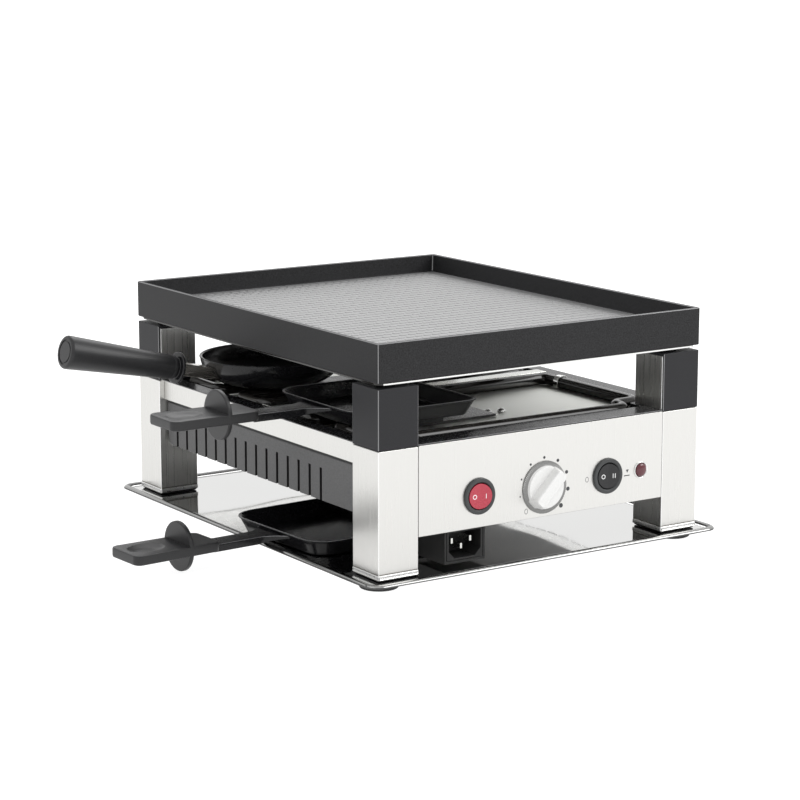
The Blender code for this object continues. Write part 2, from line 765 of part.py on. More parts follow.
def recess_corners(sign, inset):
    """Corners of one recess of the deck, stepped in round the legs and drawn in by an inset."""
    far_x = RECESS_HALF_X - inset
    near_x = HALF_WIDTH - LEG_SIZE - LEG_MARGIN - inset
    step_y = HALF_DEPTH - LEG_SIZE - LEG_MARGIN - inset
    outer, inner = RECESS_OUTER_Y - inset, RECESS_INNER_Y + inset
    half = [(far_x, inner), (far_x, step_y), (near_x, step_y), (near_x, outer)]
    corners = half + [(-x, y) for x, y in reversed(half)]
    return [(x, sign * y) for x, y in corners]


def recess_ring(sign, inset, height):
    """Rounded outline of one recess at a height."""
    corners = [Vector((x, y, height)) for x, y in recess_corners(sign, inset)]
    closed = [corners[-1]] + corners + [corners[0]]
    return rounded_route(closed, RECESS_CORNER)[1:-1]


def make_deck():
    """Pressed black deck round two recesses, the floor below it and the strip between them."""
    notch_x, notch_y = HALF_WIDTH - LEG_SIZE - GAP, HALF_DEPTH - LEG_SIZE - GAP
    deck = part(
        "deck_tray",
        block((-DECK_HALF_X, -DECK_HALF_Y, DECK_BOTTOM), (DECK_HALF_X, DECK_HALF_Y, DECK_TOP)),
        COATED,
    )
    wall_bottom = DECK_FLOOR + GAP
    for sign in (-1, 1):
        heights = (wall_bottom, DECK_TOP - DECK_SHEET / 2)
        join(deck, loft([recess_ring(sign, -RECESS_WALL, height) for height in heights]))
    for sign in (-1, 1):
        heights = (wall_bottom - OVERRUN, DECK_TOP + OVERRUN)
        cut(deck, loft([recess_ring(sign, 0, height) for height in heights]))
    for side_x, side_y in CORNERS.values():
        low = (side_x * notch_x, side_y * notch_y, DECK_BOTTOM - OVERRUN)
        high = (side_x * HALF_WIDTH, side_y * HALF_DEPTH, DECK_TOP + OVERRUN)
        cut(deck, block(low, high))

    half_x = RECESS_HALF_X + RECESS_WALL + FLOOR_LEDGE
    half_y = RECESS_OUTER_Y + RECESS_WALL - GAP
    floor_low = (-half_x, -half_y, DECK_FLOOR - FLOOR_SHEET)
    floor = part("deck_floor", block(floor_low, (half_x, half_y, DECK_FLOOR)), SATIN)
    for side_x, side_y in CORNERS.values():
        low = (side_x * notch_x, side_y * notch_y, DECK_FLOOR - FLOOR_SHEET - OVERRUN)
        high = (side_x * HALF_WIDTH, side_y * HALF_DEPTH, DECK_FLOOR + OVERRUN)
        cut(floor, block(low, high))

    half_strip = RECESS_INNER_Y - STRIP_MARGIN
    strip_low = (-RECESS_HALF_X, -half_strip, DECK_TOP + GAP)
    strip_high = (RECESS_HALF_X, half_strip, DECK_TOP + GAP + STRIP_SHEET)
    part("divider_strip", block(strip_low, strip_high), SATIN)


def make_lower_heater(place, sign):
    """Heating tube round one recess and the terminal box that takes its ends."""
    depth = RECESS_OUTER_Y + RECESS_INNER_Y
    box_left = -BOX_LEFT_SHARE * RECESS_HALF_X
    outer_end, inner_end = [sign * share * depth for share in BOX_ENDS_SHARES]
    ring = recess_corners(sign, LOWER_TUBE_MARGIN)
    left_x, left_outer_y = ring[-2]
    corners = [(box_left - GAP, outer_end), (left_x, outer_end), (left_x, left_outer_y)]
    corners += ring[-3::-1] + [ring[-1], (left_x, inner_end), (box_left - GAP, inner_end)]
    route = rounded_route([(x, y, LOWER_TUBE_Z) for x, y in corners], LOWER_TUBE_BEND)
    part(place + "_lower_element", tube(route, LOWER_TUBE_RADIUS), ELEMENT)

    far, near = sign * BOX_OUTER_SHARE * depth, sign * BOX_INNER_SHARE * depth
    base = DECK_FLOOR + GAP
    box_right = -BOX_RIGHT_SHARE * RECESS_HALF_X
    box = part(
        place + "_terminal_box",
        block((box_left, far, base), (box_right, near, LOWER_TUBE_TOP)),
        COATED,
    )
    tongue_right = TONGUE_SHARE * RECESS_HALF_X
    join(box, block((box_right - OVERRUN, far, base), (tongue_right, near, base + TONGUE_SHEET)))


def half_arch(radius, foot):
    """Half a circle over the middle, with straight legs down to a foot height."""
    steps = COARSE_STEPS // 2
    points = [(radius, foot)]
    for step in range(steps + 1):
        angle = math.pi * step / steps
        points.append((radius * math.cos(angle), radius * math.sin(angle)))
    points.append((-radius, foot))
    return points


def make_deck_fittings():
    """Clip over the front tube and the two domed screws in the front floor."""
    inside = half_arch(LOWER_TUBE_RADIUS + GAP, -LOWER_TUBE_RADIUS)
    outside = half_arch(LOWER_TUBE_RADIUS + GAP + CLIP_SHEET, -LOWER_TUBE_RADIUS)
    outline = outside + inside[::-1]
    place = (
        RECESS_HALF_X - LOWER_TUBE_MARGIN,
        -RECESS_INNER_Y - LOWER_TUBE_MARGIN - CLIP_OFFSET,
        LOWER_TUBE_Z,
    )
    part("element_clip", flat([outline], CLIP_WIDTH), MIRROR, location=place, rotation=FACING_FRONT)

    depth = RECESS_OUTER_Y + RECESS_INNER_Y
    dome = [(0, SCREW_DOME)]
    for step in range(1, WALL_STEPS):
        angle = math.pi / 2 * step / WALL_STEPS
        dome.append((SCREW_RADIUS * math.sin(angle), SCREW_DOME * math.cos(angle)))
    dome += [(SCREW_RADIUS, 0), (0, 0)]
    for number, (across, back) in enumerate(SCREW_SHARES, 1):
        place = (across * RECESS_HALF_X, -back * depth, DECK_FLOOR + GAP)
        part("deck_screw_%d" % number, turned(dome, COARSE_STEPS), MIRROR, location=place)


def make_upper_heater():
    """Frame on the leg tops with two cross bars, the heating tube and its terminal block."""
    half_x, half_y = PLATE_WIDTH / 2 - FRAME_INSET, PLATE_DEPTH / 2 - FRAME_INSET
    window_x, window_y = HALF_WIDTH - LEG_SIZE, HALF_DEPTH - LEG_SIZE
    outlines = [
        rectangle(half_x, half_y, FRAME_CORNER),
        rectangle(window_x, window_y, FRAME_CORNER),
    ]
    frame_place = (0, 0, FRAME_BOTTOM + FRAME_SHEET / 2)
    frame = part("heater_frame", flat(outlines, FRAME_SHEET), MIRROR, location=frame_place)
    bar_x = window_x + BAR_OVERLAP
    for sign in (-1, 1):
        middle = sign * BAR_SHARE * HALF_DEPTH
        low = (-bar_x, middle - BAR_WIDTH / 2, -FRAME_SHEET / 2 - BAR_DROP)
        join(frame, block(low, (bar_x, middle + BAR_WIDTH / 2, 0)))

    reach = window_x - BAR_OVERLAP / 2
    turn = UPPER_ENDS_HALF + 2 * UPPER_TUBE_BEND
    start = -window_y + BAR_OVERLAP / 2 - GAP
    half_route = [
        (UPPER_ENDS_HALF, start),
        (UPPER_ENDS_HALF, UPPER_TURN_SHARE * window_y),
        (turn, UPPER_TURN_SHARE * window_y),
        (turn, -UPPER_FRONT_SHARE * window_y),
        (reach, -UPPER_FRONT_SHARE * window_y),
        (reach, UPPER_REAR_SHARE * window_y),
    ]
    corners = [(-x, y, UPPER_TUBE_Z) for x, y in half_route]
    corners += [(x, y, UPPER_TUBE_Z) for x, y in reversed(half_route)]
    bend = min(UPPER_TUBE_BEND, (reach - turn) / 2)
    part("upper_element", tube(rounded_route(corners, bend), UPPER_TUBE_RADIUS), ELEMENT)

    terminal_low = (-TERMINAL_HALF_X, start - GAP - TERMINAL_LENGTH, FRAME_TOP + GAP)
    terminal_high = (TERMINAL_HALF_X, start - GAP, FRAME_TOP + GAP + TERMINAL_HEIGHT)
    terminal = part("terminal_block", block(terminal_low, terminal_high), CERAMIC)
    bevel(terminal, TERMINAL_BEVEL)


def make_plate():
    """Cast griddle plate: the well with its ribs above, the hollow for the heater below."""
    half_x, half_y = PLATE_WIDTH / 2, PLATE_DEPTH / 2
    outer = rectangle(half_x, half_y, PLATE_CORNER, BEND_STEPS)
    plate = part(
        "grill_plate",
        loft([level(outer, PLATE_BOTTOM), level(outer, PLATE_TOP)]),
        CAST,
    )
    wide_x, wide_y = half_x - PLATE_WALL, half_y - PLATE_WALL
    mouth = rectangle(wide_x, wide_y, WELL_CORNER, BEND_STEPS)
    floor = rectangle(wide_x - PLATE_DRAFT, wide_y - PLATE_DRAFT, WELL_CORNER, BEND_STEPS)
    well = [(floor, COOKING_Z), (mouth, PLATE_TOP), (mouth, PLATE_TOP + OVERRUN)]
    hollow = [
        (mouth, PLATE_BOTTOM - OVERRUN),
        (mouth, PLATE_BOTTOM),
        (floor, COOKING_Z - PLATE_FLOOR),
    ]
    for rings in (well, hollow):
        cut(plate, loft([level(outline, height) for outline, height in rings]))

    rib_x = wide_x - PLATE_DRAFT - RIB_MARGIN
    rib_span = wide_y - PLATE_DRAFT - RIB_MARGIN
    count = int(2 * rib_span / RIB_PITCH)
    ribs = bmesh.new()
    for rib in range(count + 1):
        middle = (rib - count / 2) * RIB_PITCH
        rings = []
        for width, height in ((RIB_WIDTH, -PLATE_FLOOR / 2), (RIB_WIDTH, 0), (RIB_TOP_WIDTH, RIB_HEIGHT)):
            trim = (RIB_WIDTH - width) / 2
            outline = ((-1, -1), (1, -1), (1, 1), (-1, 1))
            rings.append([
                Vector((x * (rib_x - trim), middle + y * width / 2, COOKING_Z + height))
                for x, y in outline
            ])
        ribs.from_mesh(loft(rings))
    join(plate, mesh_from(ribs))


def make_switch(name, x, colour):
    """Round rocker switch: the bezel through the panel and the rocker on its upright pivot."""
    place = (x, -HALF_DEPTH, CONTROL_Z)
    pocket_radius = ROCKER_RADIUS + ROCKER_CLEARANCE
    profile = [
        (0, BEZEL_FLANGE),
        (BEZEL_RADIUS - BEZEL_ROUND, BEZEL_FLANGE),
        (BEZEL_RADIUS, BEZEL_FLANGE - BEZEL_ROUND),
        (BEZEL_RADIUS, GAP),
        (BEZEL_BARREL_RADIUS, GAP),
        (BEZEL_BARREL_RADIUS, -BEZEL_BARREL),
        (0, -BEZEL_BARREL),
    ]
    bezel = part(
        name + "_switch_bezel",
        turned(profile),
        SWITCH_GREY,
        location=place,
        rotation=FACING_FRONT,
    )
    cut(bezel, rod(pocket_radius, BEZEL_BACK - BEZEL_BARREL, BEZEL_FLANGE + OVERRUN))

    section = [
        (-ROCKER_RADIUS, ROCKER_EDGE),
        (-ROCKER_RADIUS, -ROCKER_EDGE),
        (-ROCKER_NOSE_HALF, -ROCKER_EDGE - ROCKER_NOSE),
        (ROCKER_NOSE_HALF, -ROCKER_EDGE - ROCKER_NOSE),
        (ROCKER_RADIUS, -ROCKER_EDGE),
        (ROCKER_RADIUS, ROCKER_EDGE),
        (0, ROCKER_EDGE - ROCKER_DISH),
    ]
    wedge = flat([section], 2 * (ROCKER_RADIUS + OVERRUN))
    wedge = placed(wedge, rotation=Matrix.Rotation(math.pi / 2, 3, "X"))
    front = -HALF_DEPTH - BEZEL_FLANGE - ROCKER_PROUD + ROCKER_EDGE
    rocker = part(
        name + "_rocker",
        wedge,
        colour,
        location=(x, front, CONTROL_Z),
        rotation=(math.pi / 2, 0, -ROCKER_TILT),
    )
    reach = ROCKER_RADIUS + OVERRUN
    disc = rod(ROCKER_RADIUS, -reach, reach)
    shape(rocker, "INTERSECT", disc)


def make_knob():
    """Thermostat with its shaft, and the knob that turns with the shaft."""
    place = (0, -HALF_DEPTH, KNOB_Z)
    base = GAP
    profile = [
        (0, KNOB_BASE),
        (KNOB_FACE_RADIUS - KNOB_EDGE, KNOB_BASE),
        (KNOB_FACE_RADIUS, KNOB_BASE - KNOB_EDGE),
        (KNOB_RADIUS, base + KNOB_EDGE),
        (KNOB_RADIUS, base),
        (0, base),
    ]
    knob = part("thermostat_knob", turned(profile), SILVER, location=place, rotation=FACING_FRONT)
    top_x, top_y = GRIP_TOP_LENGTH / 2, GRIP_TOP_WIDTH / 2
    top_corner = GRIP_CORNER_SHARE * GRIP_TOP_WIDTH
    foot = rectangle(GRIP_LENGTH / 2, GRIP_WIDTH / 2, GRIP_CORNER_SHARE * GRIP_WIDTH)
    top = rectangle(top_x, top_y, top_corner)
    brow = rectangle(top_x - GRIP_ROUND, top_y - GRIP_ROUND, top_corner)
    grip_top = KNOB_BASE + GRIP_HEIGHT
    rings = [
        level(foot, base + KNOB_EDGE),
        level(top, grip_top - GRIP_ROUND),
        level(brow, grip_top),
    ]
    join(knob, placed(loft(rings), rotation=Matrix.Rotation(GRIP_ANGLE, 3, "Z")))
    cut(knob, rod(SHAFT_RADIUS + GAP, base - OVERRUN, SHAFT_REACH + GAP, COARSE_STEPS))

    shaft_end = -PANEL_SHEET - GAP - SHAFT_INSIDE
    shaft = rod(SHAFT_RADIUS, shaft_end, SHAFT_REACH, COARSE_STEPS)
    part("thermostat_shaft", shaft, SATIN, location=place, rotation=FACING_FRONT)

    front = -PANEL_SHEET - GAP
    shoulder = front - THERMOSTAT_NOSE
    back = shoulder - THERMOSTAT_LENGTH
    can = [
        (0, front),
        (THERMOSTAT_NOSE_RADIUS, front),
        (THERMOSTAT_NOSE_RADIUS, shoulder),
        (THERMOSTAT_RADIUS, shoulder),
        (THERMOSTAT_RADIUS, back),
        (0, back),
    ]
    body = part("thermostat", turned(can), CERAMIC, location=place, rotation=FACING_FRONT)
    cut(body, rod(SHAFT_RADIUS + GAP, shaft_end - GAP, front + OVERRUN, COARSE_STEPS))


def make_pilot():
    """Pilot lamp: a bright ring through the panel and the red lens inside it."""
    place = (PILOT_X, -HALF_DEPTH, PILOT_Z)
    ring_profile = [
        (PILOT_RADIUS, PILOT_FLANGE),
        (PILOT_RING_RADIUS, PILOT_FLANGE),
        (PILOT_RING_RADIUS, GAP),
        (PILOT_BARREL_RADIUS, GAP),
        (PILOT_BARREL_RADIUS, -PILOT_LENGTH),
        (PILOT_RADIUS, -PILOT_LENGTH),
    ]
    part("pilot_ring", turned(ring_profile), MIRROR, location=place, rotation=FACING_FRONT)
    radius = PILOT_RADIUS - GAP
    profile = [(0, PILOT_FLANGE + PILOT_DOME)]
    for step in range(1, WALL_STEPS):
        angle = math.pi / 2 * step / WALL_STEPS
        profile.append((radius * math.sin(angle), PILOT_FLANGE + PILOT_DOME * math.cos(angle)))
    profile += [(radius, PILOT_FLANGE), (radius, -PILOT_LENGTH), (0, -PILOT_LENGTH)]
    part("pilot_lens", turned(profile), LENS, location=place, rotation=FACING_FRONT)


def make_inlet():
    """Appliance inlet with its three blades, snapped into a box under the housing."""
    face = -HALF_DEPTH + INLET_SETBACK
    half = INLET_BOX_WIDTH / 2
    box = part(
        "inlet_box",
        block(
            (INLET_X - half, face, INLET_BOX_BOTTOM),
            (INLET_X + half, face + INLET_BOX_DEPTH, BOTTOM_Z - GAP),
        ),
        PLASTIC,
    )
    low_x, high_x = INLET_X - INLET_BODY_WIDTH / 2, INLET_X + INLET_BODY_WIDTH / 2
    low_z = INLET_BOX_BOTTOM + INLET_WALL
    high_z = low_z + INLET_BODY_HEIGHT
    back = face + INLET_BODY_DEPTH
    cut(box, block((low_x - GAP, face - OVERRUN, low_z - GAP), (high_x + GAP, back + GAP, high_z + GAP)))

    inlet = part("power_inlet", block((low_x, face, low_z), (high_x, back, high_z)), SWITCH_GREY)
    middle_z = (low_z + high_z) / 2
    half_x, half_z = SOCKET_WIDTH / 2, SOCKET_HEIGHT / 2
    outline = [
        (half_x, half_z),
        (-half_x, half_z),
        (-half_x, SOCKET_CHAMFER - half_z),
        (SOCKET_CHAMFER - half_x, -half_z),
        (half_x - SOCKET_CHAMFER, -half_z),
        (half_x, SOCKET_CHAMFER - half_z),
    ]
    socket_front = (INLET_X, face, middle_z)
    socket = loft([level(outline, -SOCKET_DEPTH), level(outline, OVERRUN)])
    cut(inlet, socket, socket_front, FACING_FRONT)
    for x, z in ((-PIN_SPACING / 2, PIN_RISE), (PIN_SPACING / 2, PIN_RISE), (0, -PIN_RISE)):
        low = (x - PIN_WIDTH / 2, z - PIN_HEIGHT / 2, -SOCKET_DEPTH - PIN_ROOT)
        high = (x + PIN_WIDTH / 2, z + PIN_HEIGHT / 2, PIN_LENGTH - SOCKET_DEPTH)
        join(inlet, block(low, high), socket_front, FACING_FRONT)


def make_pan(name, place):
    """Raclette pan in the frame of its empty: the dish with its arm, and the grip."""
    half_x, half_y = PAN_LENGTH / 2 - PAN_LIP, PAN_WIDTH / 2 - PAN_LIP

    def ring(inset, height):
        outline = rectangle(half_x - inset, half_y - inset, PAN_CORNER - inset)
        return level(outline, height)

    lip_z = PAN_HEIGHT - PAN_LIP_HEIGHT
    dish = part(
        name,
        loft([
            ring(PAN_TAPER + PAN_FOOT_ROUND, 0),
            ring(PAN_TAPER, PAN_FOOT_ROUND),
            ring(0, lip_z),
            ring(-PAN_LIP, lip_z + PAN_LIP_HEIGHT / 2),
            ring(-PAN_LIP, PAN_HEIGHT),
        ]),
        COATED,
        place,
    )
    arm_end = -half_x - PAN_LIP - ARM_LENGTH + GAP
    arm_top = lip_z - ARM_DROP
    arm_bottom = arm_top - ARM_HEIGHT
    half_arm = ARM_WIDTH / 2
    join(dish, block((arm_end, -half_arm, arm_bottom), (-half_x + PAN_TAPER, half_arm, arm_top)))
    cut(dish, loft([
        ring(PAN_TAPER + PAN_FOOT_ROUND + PAN_WALL, PAN_WALL),
        ring(PAN_TAPER + PAN_WALL, PAN_FOOT_ROUND + PAN_WALL),
        ring(PAN_WALL, lip_z),
        ring(PAN_WALL, PAN_HEIGHT + OVERRUN),
    ]))
    channel = half_arm - ARM_WALL
    channel_end = -half_x - PAN_LIP
    cut(dish, block(
        (arm_end - OVERRUN, -channel, arm_bottom - OVERRUN),
        (channel_end, channel, arm_top - ARM_WALL),
    ))

    slab_right = arm_end - GAP
    slab_left = slab_right - GRIP_SLAB_LENGTH
    slab_top = PAN_HEIGHT + GRIP_SLAB_RISE
    slab_middle = slab_top - GRIP_SLAB_THICKNESS / 2
    centre_x = (slab_left + slab_right) / 2
    outline = rectangle(GRIP_SLAB_LENGTH / 2, GRIP_SLAB_WIDTH / 2, GRIP_SLAB_CORNER)
    edge = rectangle(
        GRIP_SLAB_LENGTH / 2 - GRIP_SLAB_BEVEL,
        GRIP_SLAB_WIDTH / 2 - GRIP_SLAB_BEVEL,
        GRIP_SLAB_CORNER - GRIP_SLAB_BEVEL,
    )
    half = GRIP_SLAB_THICKNESS / 2
    slab = loft([
        level(edge, -half),
        level(outline, GRIP_SLAB_BEVEL - half),
        level(outline, half - GRIP_SLAB_BEVEL),
        level(edge, half),
    ])
    grip = part(name + "_handle", slab, PLASTIC, place, (centre_x, 0, slab_middle))
    guard_x = slab_right - GUARD_SHARE * GRIP_SLAB_LENGTH
    guard = rod(GUARD_RADIUS, -GUARD_THICKNESS / 2, GUARD_THICKNESS / 2)
    join(grip, guard, (guard_x, 0, slab_middle + GUARD_LIFT), (0, math.pi / 2, 0))
    dish_x = slab_right - DISH_SHARE * GRIP_SLAB_LENGTH
    dish_shape = ball((DISH_LENGTH, DISH_WIDTH, DISH_DEPTH), (0, 0, 0))
    cut(grip, dish_shape, (dish_x, 0, slab_top))


def wok_wall(offset, base):
    """The wok's side from its foot up to its rim, moved out by an offset."""
    points = []
    for step in range(WALL_STEPS + 1):
        angle = math.pi / 2 * step / WALL_STEPS
        rim = WOK_RIM_RADIUS + offset
        radius = WOK_BASE_RADIUS + (rim - WOK_BASE_RADIUS) * math.sin(angle)
        points.append((radius, base + (WOK_HEIGHT - base) * (1 - math.cos(angle))))
    return points


def make_wok(place):
    """Small wok in the frame of its empty: bowl, channel, collar and handle."""
    inner = wok_wall(-WOK_WALL, WOK_WALL)
    outer = wok_wall(0, 0)
    profile = [(0, WOK_WALL)] + inner + outer[::-1] + [(0, 0)]
    part("wok_bowl", turned(profile, 2 * COARSE_STEPS), COATED, place)

    tilt = (0, WOK_HANDLE_TILT - math.pi / 2, 0)
    collar_place = (-WOK_REACH, 0, WOK_HANDLE_RISE)
    half = CHANNEL_WIDTH / 2
    low = -CHANNEL_HEIGHT / 2
    channel = part(
        "wok_bracket",
        block((low, -half, -CHANNEL_LENGTH), (-low, half, -GAP)),
        BRUSHED,
        place,
        collar_place,
        tilt,
    )
    inside = half - CHANNEL_WALL
    cut(channel, block(
        (low - OVERRUN, -inside, -CHANNEL_LENGTH - OVERRUN),
        (-low - CHANNEL_WALL, inside, OVERRUN),
    ))
    wall = wok_wall(GAP, -GAP)
    keep_out = [(0, WOK_HEIGHT + CHANNEL_HEIGHT)]
    keep_out += [(WOK_RIM_RADIUS + GAP, WOK_HEIGHT + CHANNEL_HEIGHT)] + wall[::-1]
    keep_out += [(WOK_BASE_RADIUS, -CHANNEL_HEIGHT), (0, -CHANNEL_HEIGHT)]
    cut(channel, turned(keep_out, 2 * COARSE_STEPS), (0, 0, 0), (0, 0, 0))

    collar_profile = [
        (0, COLLAR_LENGTH),
        (COLLAR_RADIUS, COLLAR_LENGTH),
        (COLLAR_RADIUS, COLLAR_FLANGE),
        (COLLAR_FLANGE_RADIUS, COLLAR_FLANGE),
        (COLLAR_FLANGE_RADIUS, 0),
        (0, 0),
    ]
    part("wok_collar", turned(collar_profile), BRUSHED, place, collar_place, tilt)

    start = COLLAR_LENGTH + GAP
    end = start + WOK_HANDLE_LENGTH - COLLAR_LENGTH
    handle_profile = [(0, end)]
    for step in range(1, WALL_STEPS + 1):
        angle = math.pi / 2 * step / WALL_STEPS
        radius = WOK_HANDLE_THICK - WOK_HANDLE_ROUND + WOK_HANDLE_ROUND * math.sin(angle)
        handle_profile.append((radius, end - WOK_HANDLE_ROUND * (1 - math.cos(angle))))
    handle_profile += [(WOK_HANDLE_THIN, start), (0, start)]
    part("wok_handle", turned(handle_profile, COARSE_STEPS), PLASTIC, place, collar_place, tilt)


def build():
    """Every piece of the grill, from the table up."""
    make_tray()
    for corner, (side_x, side_y) in CORNERS.items():
        make_rubber_foot(corner, side_x, side_y)
        make_leg(corner, side_x, side_y)
    make_panels()
    make_side("left", -1)
    make_side("right", 1)
    make_bottom_cover()
    make_inlet()
    make_deck()
    make_lower_heater("front", -1)
    make_lower_heater("rear", 1)
    make_deck_fittings()
    make_upper_heater()
    make_plate()
    make_switch("main", -SWITCH_X, RED)
    make_switch("lower_heat", SWITCH_X, PLASTIC)
    make_knob()
    make_pilot()

    pan_rest = LOWER_TUBE_TOP + GAP
    upper_x = PAN_LENGTH / 2 + UPPER_PAN_EDGE - HALF_WIDTH
    upper = empty("upper_pan_place", (upper_x, UPPER_PAN_Y, pan_rest), grill)
    make_pan("upper_pan", upper)
    lower_place = (LOWER_PAN_X, LOWER_PAN_Y, TRAY_FLOOR + GAP)
    lower = empty("lower_pan_place", lower_place, grill, (0, 0, LOWER_PAN_YAW))
    make_pan("lower_pan", lower)
    make_wok(empty("wok_place", (WOK_X, WOK_Y, pan_rest), grill))


build()
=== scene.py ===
import json
import math

import bmesh
import bpy
from mathutils import Matrix, Vector


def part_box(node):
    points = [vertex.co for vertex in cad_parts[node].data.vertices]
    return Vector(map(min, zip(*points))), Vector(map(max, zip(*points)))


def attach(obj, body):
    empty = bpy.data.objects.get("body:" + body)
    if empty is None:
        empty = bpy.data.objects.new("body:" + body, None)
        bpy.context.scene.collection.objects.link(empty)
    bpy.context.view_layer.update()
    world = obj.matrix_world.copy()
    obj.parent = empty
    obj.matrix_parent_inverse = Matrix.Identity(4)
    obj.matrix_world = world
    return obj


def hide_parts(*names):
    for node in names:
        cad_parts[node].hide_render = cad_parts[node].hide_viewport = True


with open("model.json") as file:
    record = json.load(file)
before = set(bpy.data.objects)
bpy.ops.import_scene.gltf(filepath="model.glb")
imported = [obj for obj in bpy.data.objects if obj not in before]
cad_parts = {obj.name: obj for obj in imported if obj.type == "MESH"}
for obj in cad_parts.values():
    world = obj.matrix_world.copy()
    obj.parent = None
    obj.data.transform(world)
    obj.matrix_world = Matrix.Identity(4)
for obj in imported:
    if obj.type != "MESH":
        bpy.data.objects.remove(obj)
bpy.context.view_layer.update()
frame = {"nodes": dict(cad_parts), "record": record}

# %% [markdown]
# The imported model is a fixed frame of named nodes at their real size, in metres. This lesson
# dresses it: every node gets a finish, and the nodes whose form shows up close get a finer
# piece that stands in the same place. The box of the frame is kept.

MM = 0.001
slot_of = {row["node"]: row["material_slot"] for row in frame["record"]["subparts"]}
body_of_node = {}
for body_name, members in frame["record"]["behaviour"]["bodies"].items():
    for member in members:
        body_of_node[member] = body_name

# %% [markdown]
# A photograph of steel is mostly a photograph of the room. The metals here are Principled
# shaders with a metallic value of 1, and the room round them is nearly white, as in a
# product studio. What makes one steel differ from another is how its roughness and its tiny
# scratches vary, so each finish below mixes noise at its own scale into those two inputs.

# %% Helpers for finishes
finishes = {}


def shader_inputs(made):
    """The sockets of a material's Principled shader."""
    return made.node_tree.nodes["Principled BSDF"].inputs


def finish(name, colour, metallic=0.0, roughness=0.5, coat=0.0, coat_roughness=0.1, ior=1.5):
    """A Principled material with its constant values on the shader's own sockets."""
    made = bpy.data.materials.new(name)
    made.use_nodes = True
    inputs = shader_inputs(made)
    inputs["Base Color"].default_value = (*colour, 1)
    inputs["Metallic"].default_value = metallic
    inputs["Roughness"].default_value = roughness
    inputs["Coat Weight"].default_value = coat
    inputs["Coat Roughness"].default_value = coat_roughness
    inputs["IOR"].default_value = ior
    made.diffuse_color = (*colour, 1)
    finishes[name] = made
    return made


def noise_on(made, scale, detail=3.0):
    """Noise in the piece's own coordinates, stretched by a scale for each direction."""
    nodes, links = made.node_tree.nodes, made.node_tree.links
    place = nodes.new("ShaderNodeTexCoord")
    stretch = nodes.new("ShaderNodeMapping")
    stretch.inputs["Scale"].default_value = scale
    links.new(place.outputs["Object"], stretch.inputs["Vector"])
    noise = nodes.new("ShaderNodeTexNoise")
    noise.inputs["Scale"].default_value = 1.0
    noise.inputs["Detail"].default_value = detail
    links.new(stretch.outputs["Vector"], noise.inputs["Vector"])
    return noise.outputs["Fac"]


def remap(made, value, low, high):
    """Spread the middle of a noise over a range of values."""
    node = made.node_tree.nodes.new("ShaderNodeMapRange")
    node.inputs["From Min"].default_value = 0.3
    node.inputs["From Max"].default_value = 0.7
    node.inputs["To Min"].default_value = low
    node.inputs["To Max"].default_value = high
    made.node_tree.links.new(value, node.inputs["Value"])
    return node.outputs["Result"]


def vary_roughness(made, value, low, high):
    """Let a noise drive the roughness between two values."""
    made.node_tree.links.new(remap(made, value, low, high), shader_inputs(made)["Roughness"])


def vary_colour(made, value, dark, light):
    """Let a noise mix two colours."""
    node = made.node_tree.nodes.new("ShaderNodeMix")
    node.data_type = "RGBA"
    node.inputs["A"].default_value = (*dark, 1)
    node.inputs["B"].default_value = (*light, 1)
    made.node_tree.links.new(remap(made, value, 0, 1), node.inputs["Factor"])
    made.node_tree.links.new(node.outputs["Result"], shader_inputs(made)["Base Color"])


def add_bump(made, value, depth, strength=1.0):
    """Let a noise raise the surface by a real depth."""
    node = made.node_tree.nodes.new("ShaderNodeBump")
    node.inputs["Strength"].default_value = strength
    node.inputs["Distance"].default_value = depth
    made.node_tree.links.new(value, node.inputs["Height"])
    made.node_tree.links.new(node.outputs["Normal"], shader_inputs(made)["Normal"])


# %% [markdown]
# Brushed stainless steel has long fine scratches, all in one direction. The noise is
# squeezed across the scratches and drawn out along them, so one set of nodes gives the legs
# and panels their upright grain and the deck floor its softer satin. Upright scratches smear a
# reflection sideways: the anisotropic value does that, along a tangent that stays level. The
# named steels at the end are for places. Four of them are painted light and shade: a light steel
# as a painted highlight on edges and lips, a dark one as a painted shadow line above a fold, and
# a dark and a lighter one as the painted shade and painted light of a rolled rim.

# %% Steels
SCRATCH_SHADE = 0.965
SCRATCH_DEPTH = 0.01 * MM
SCRATCH_STRENGTH = 0.16


def brushed(name, colour, grain, roughness, spread=0.0):
    """Steel with a grain: the scale is high across the scratches and low along them."""
    made = finish(name, colour, metallic=1.0)
    if spread:
        inputs = shader_inputs(made)
        inputs["Anisotropic"].default_value = spread
        level = made.node_tree.nodes.new("ShaderNodeTangent")
        level.direction_type = "RADIAL"
        level.axis = "Z"
        made.node_tree.links.new(level.outputs["Tangent"], inputs["Tangent"])
    scratches = noise_on(made, grain, detail=4.0)
    vary_roughness(made, scratches, *roughness)
    vary_colour(made, noise_on(made, grain), [SCRATCH_SHADE * part for part in colour], colour)
    add_bump(made, scratches, SCRATCH_DEPTH, SCRATCH_STRENGTH)
    return made


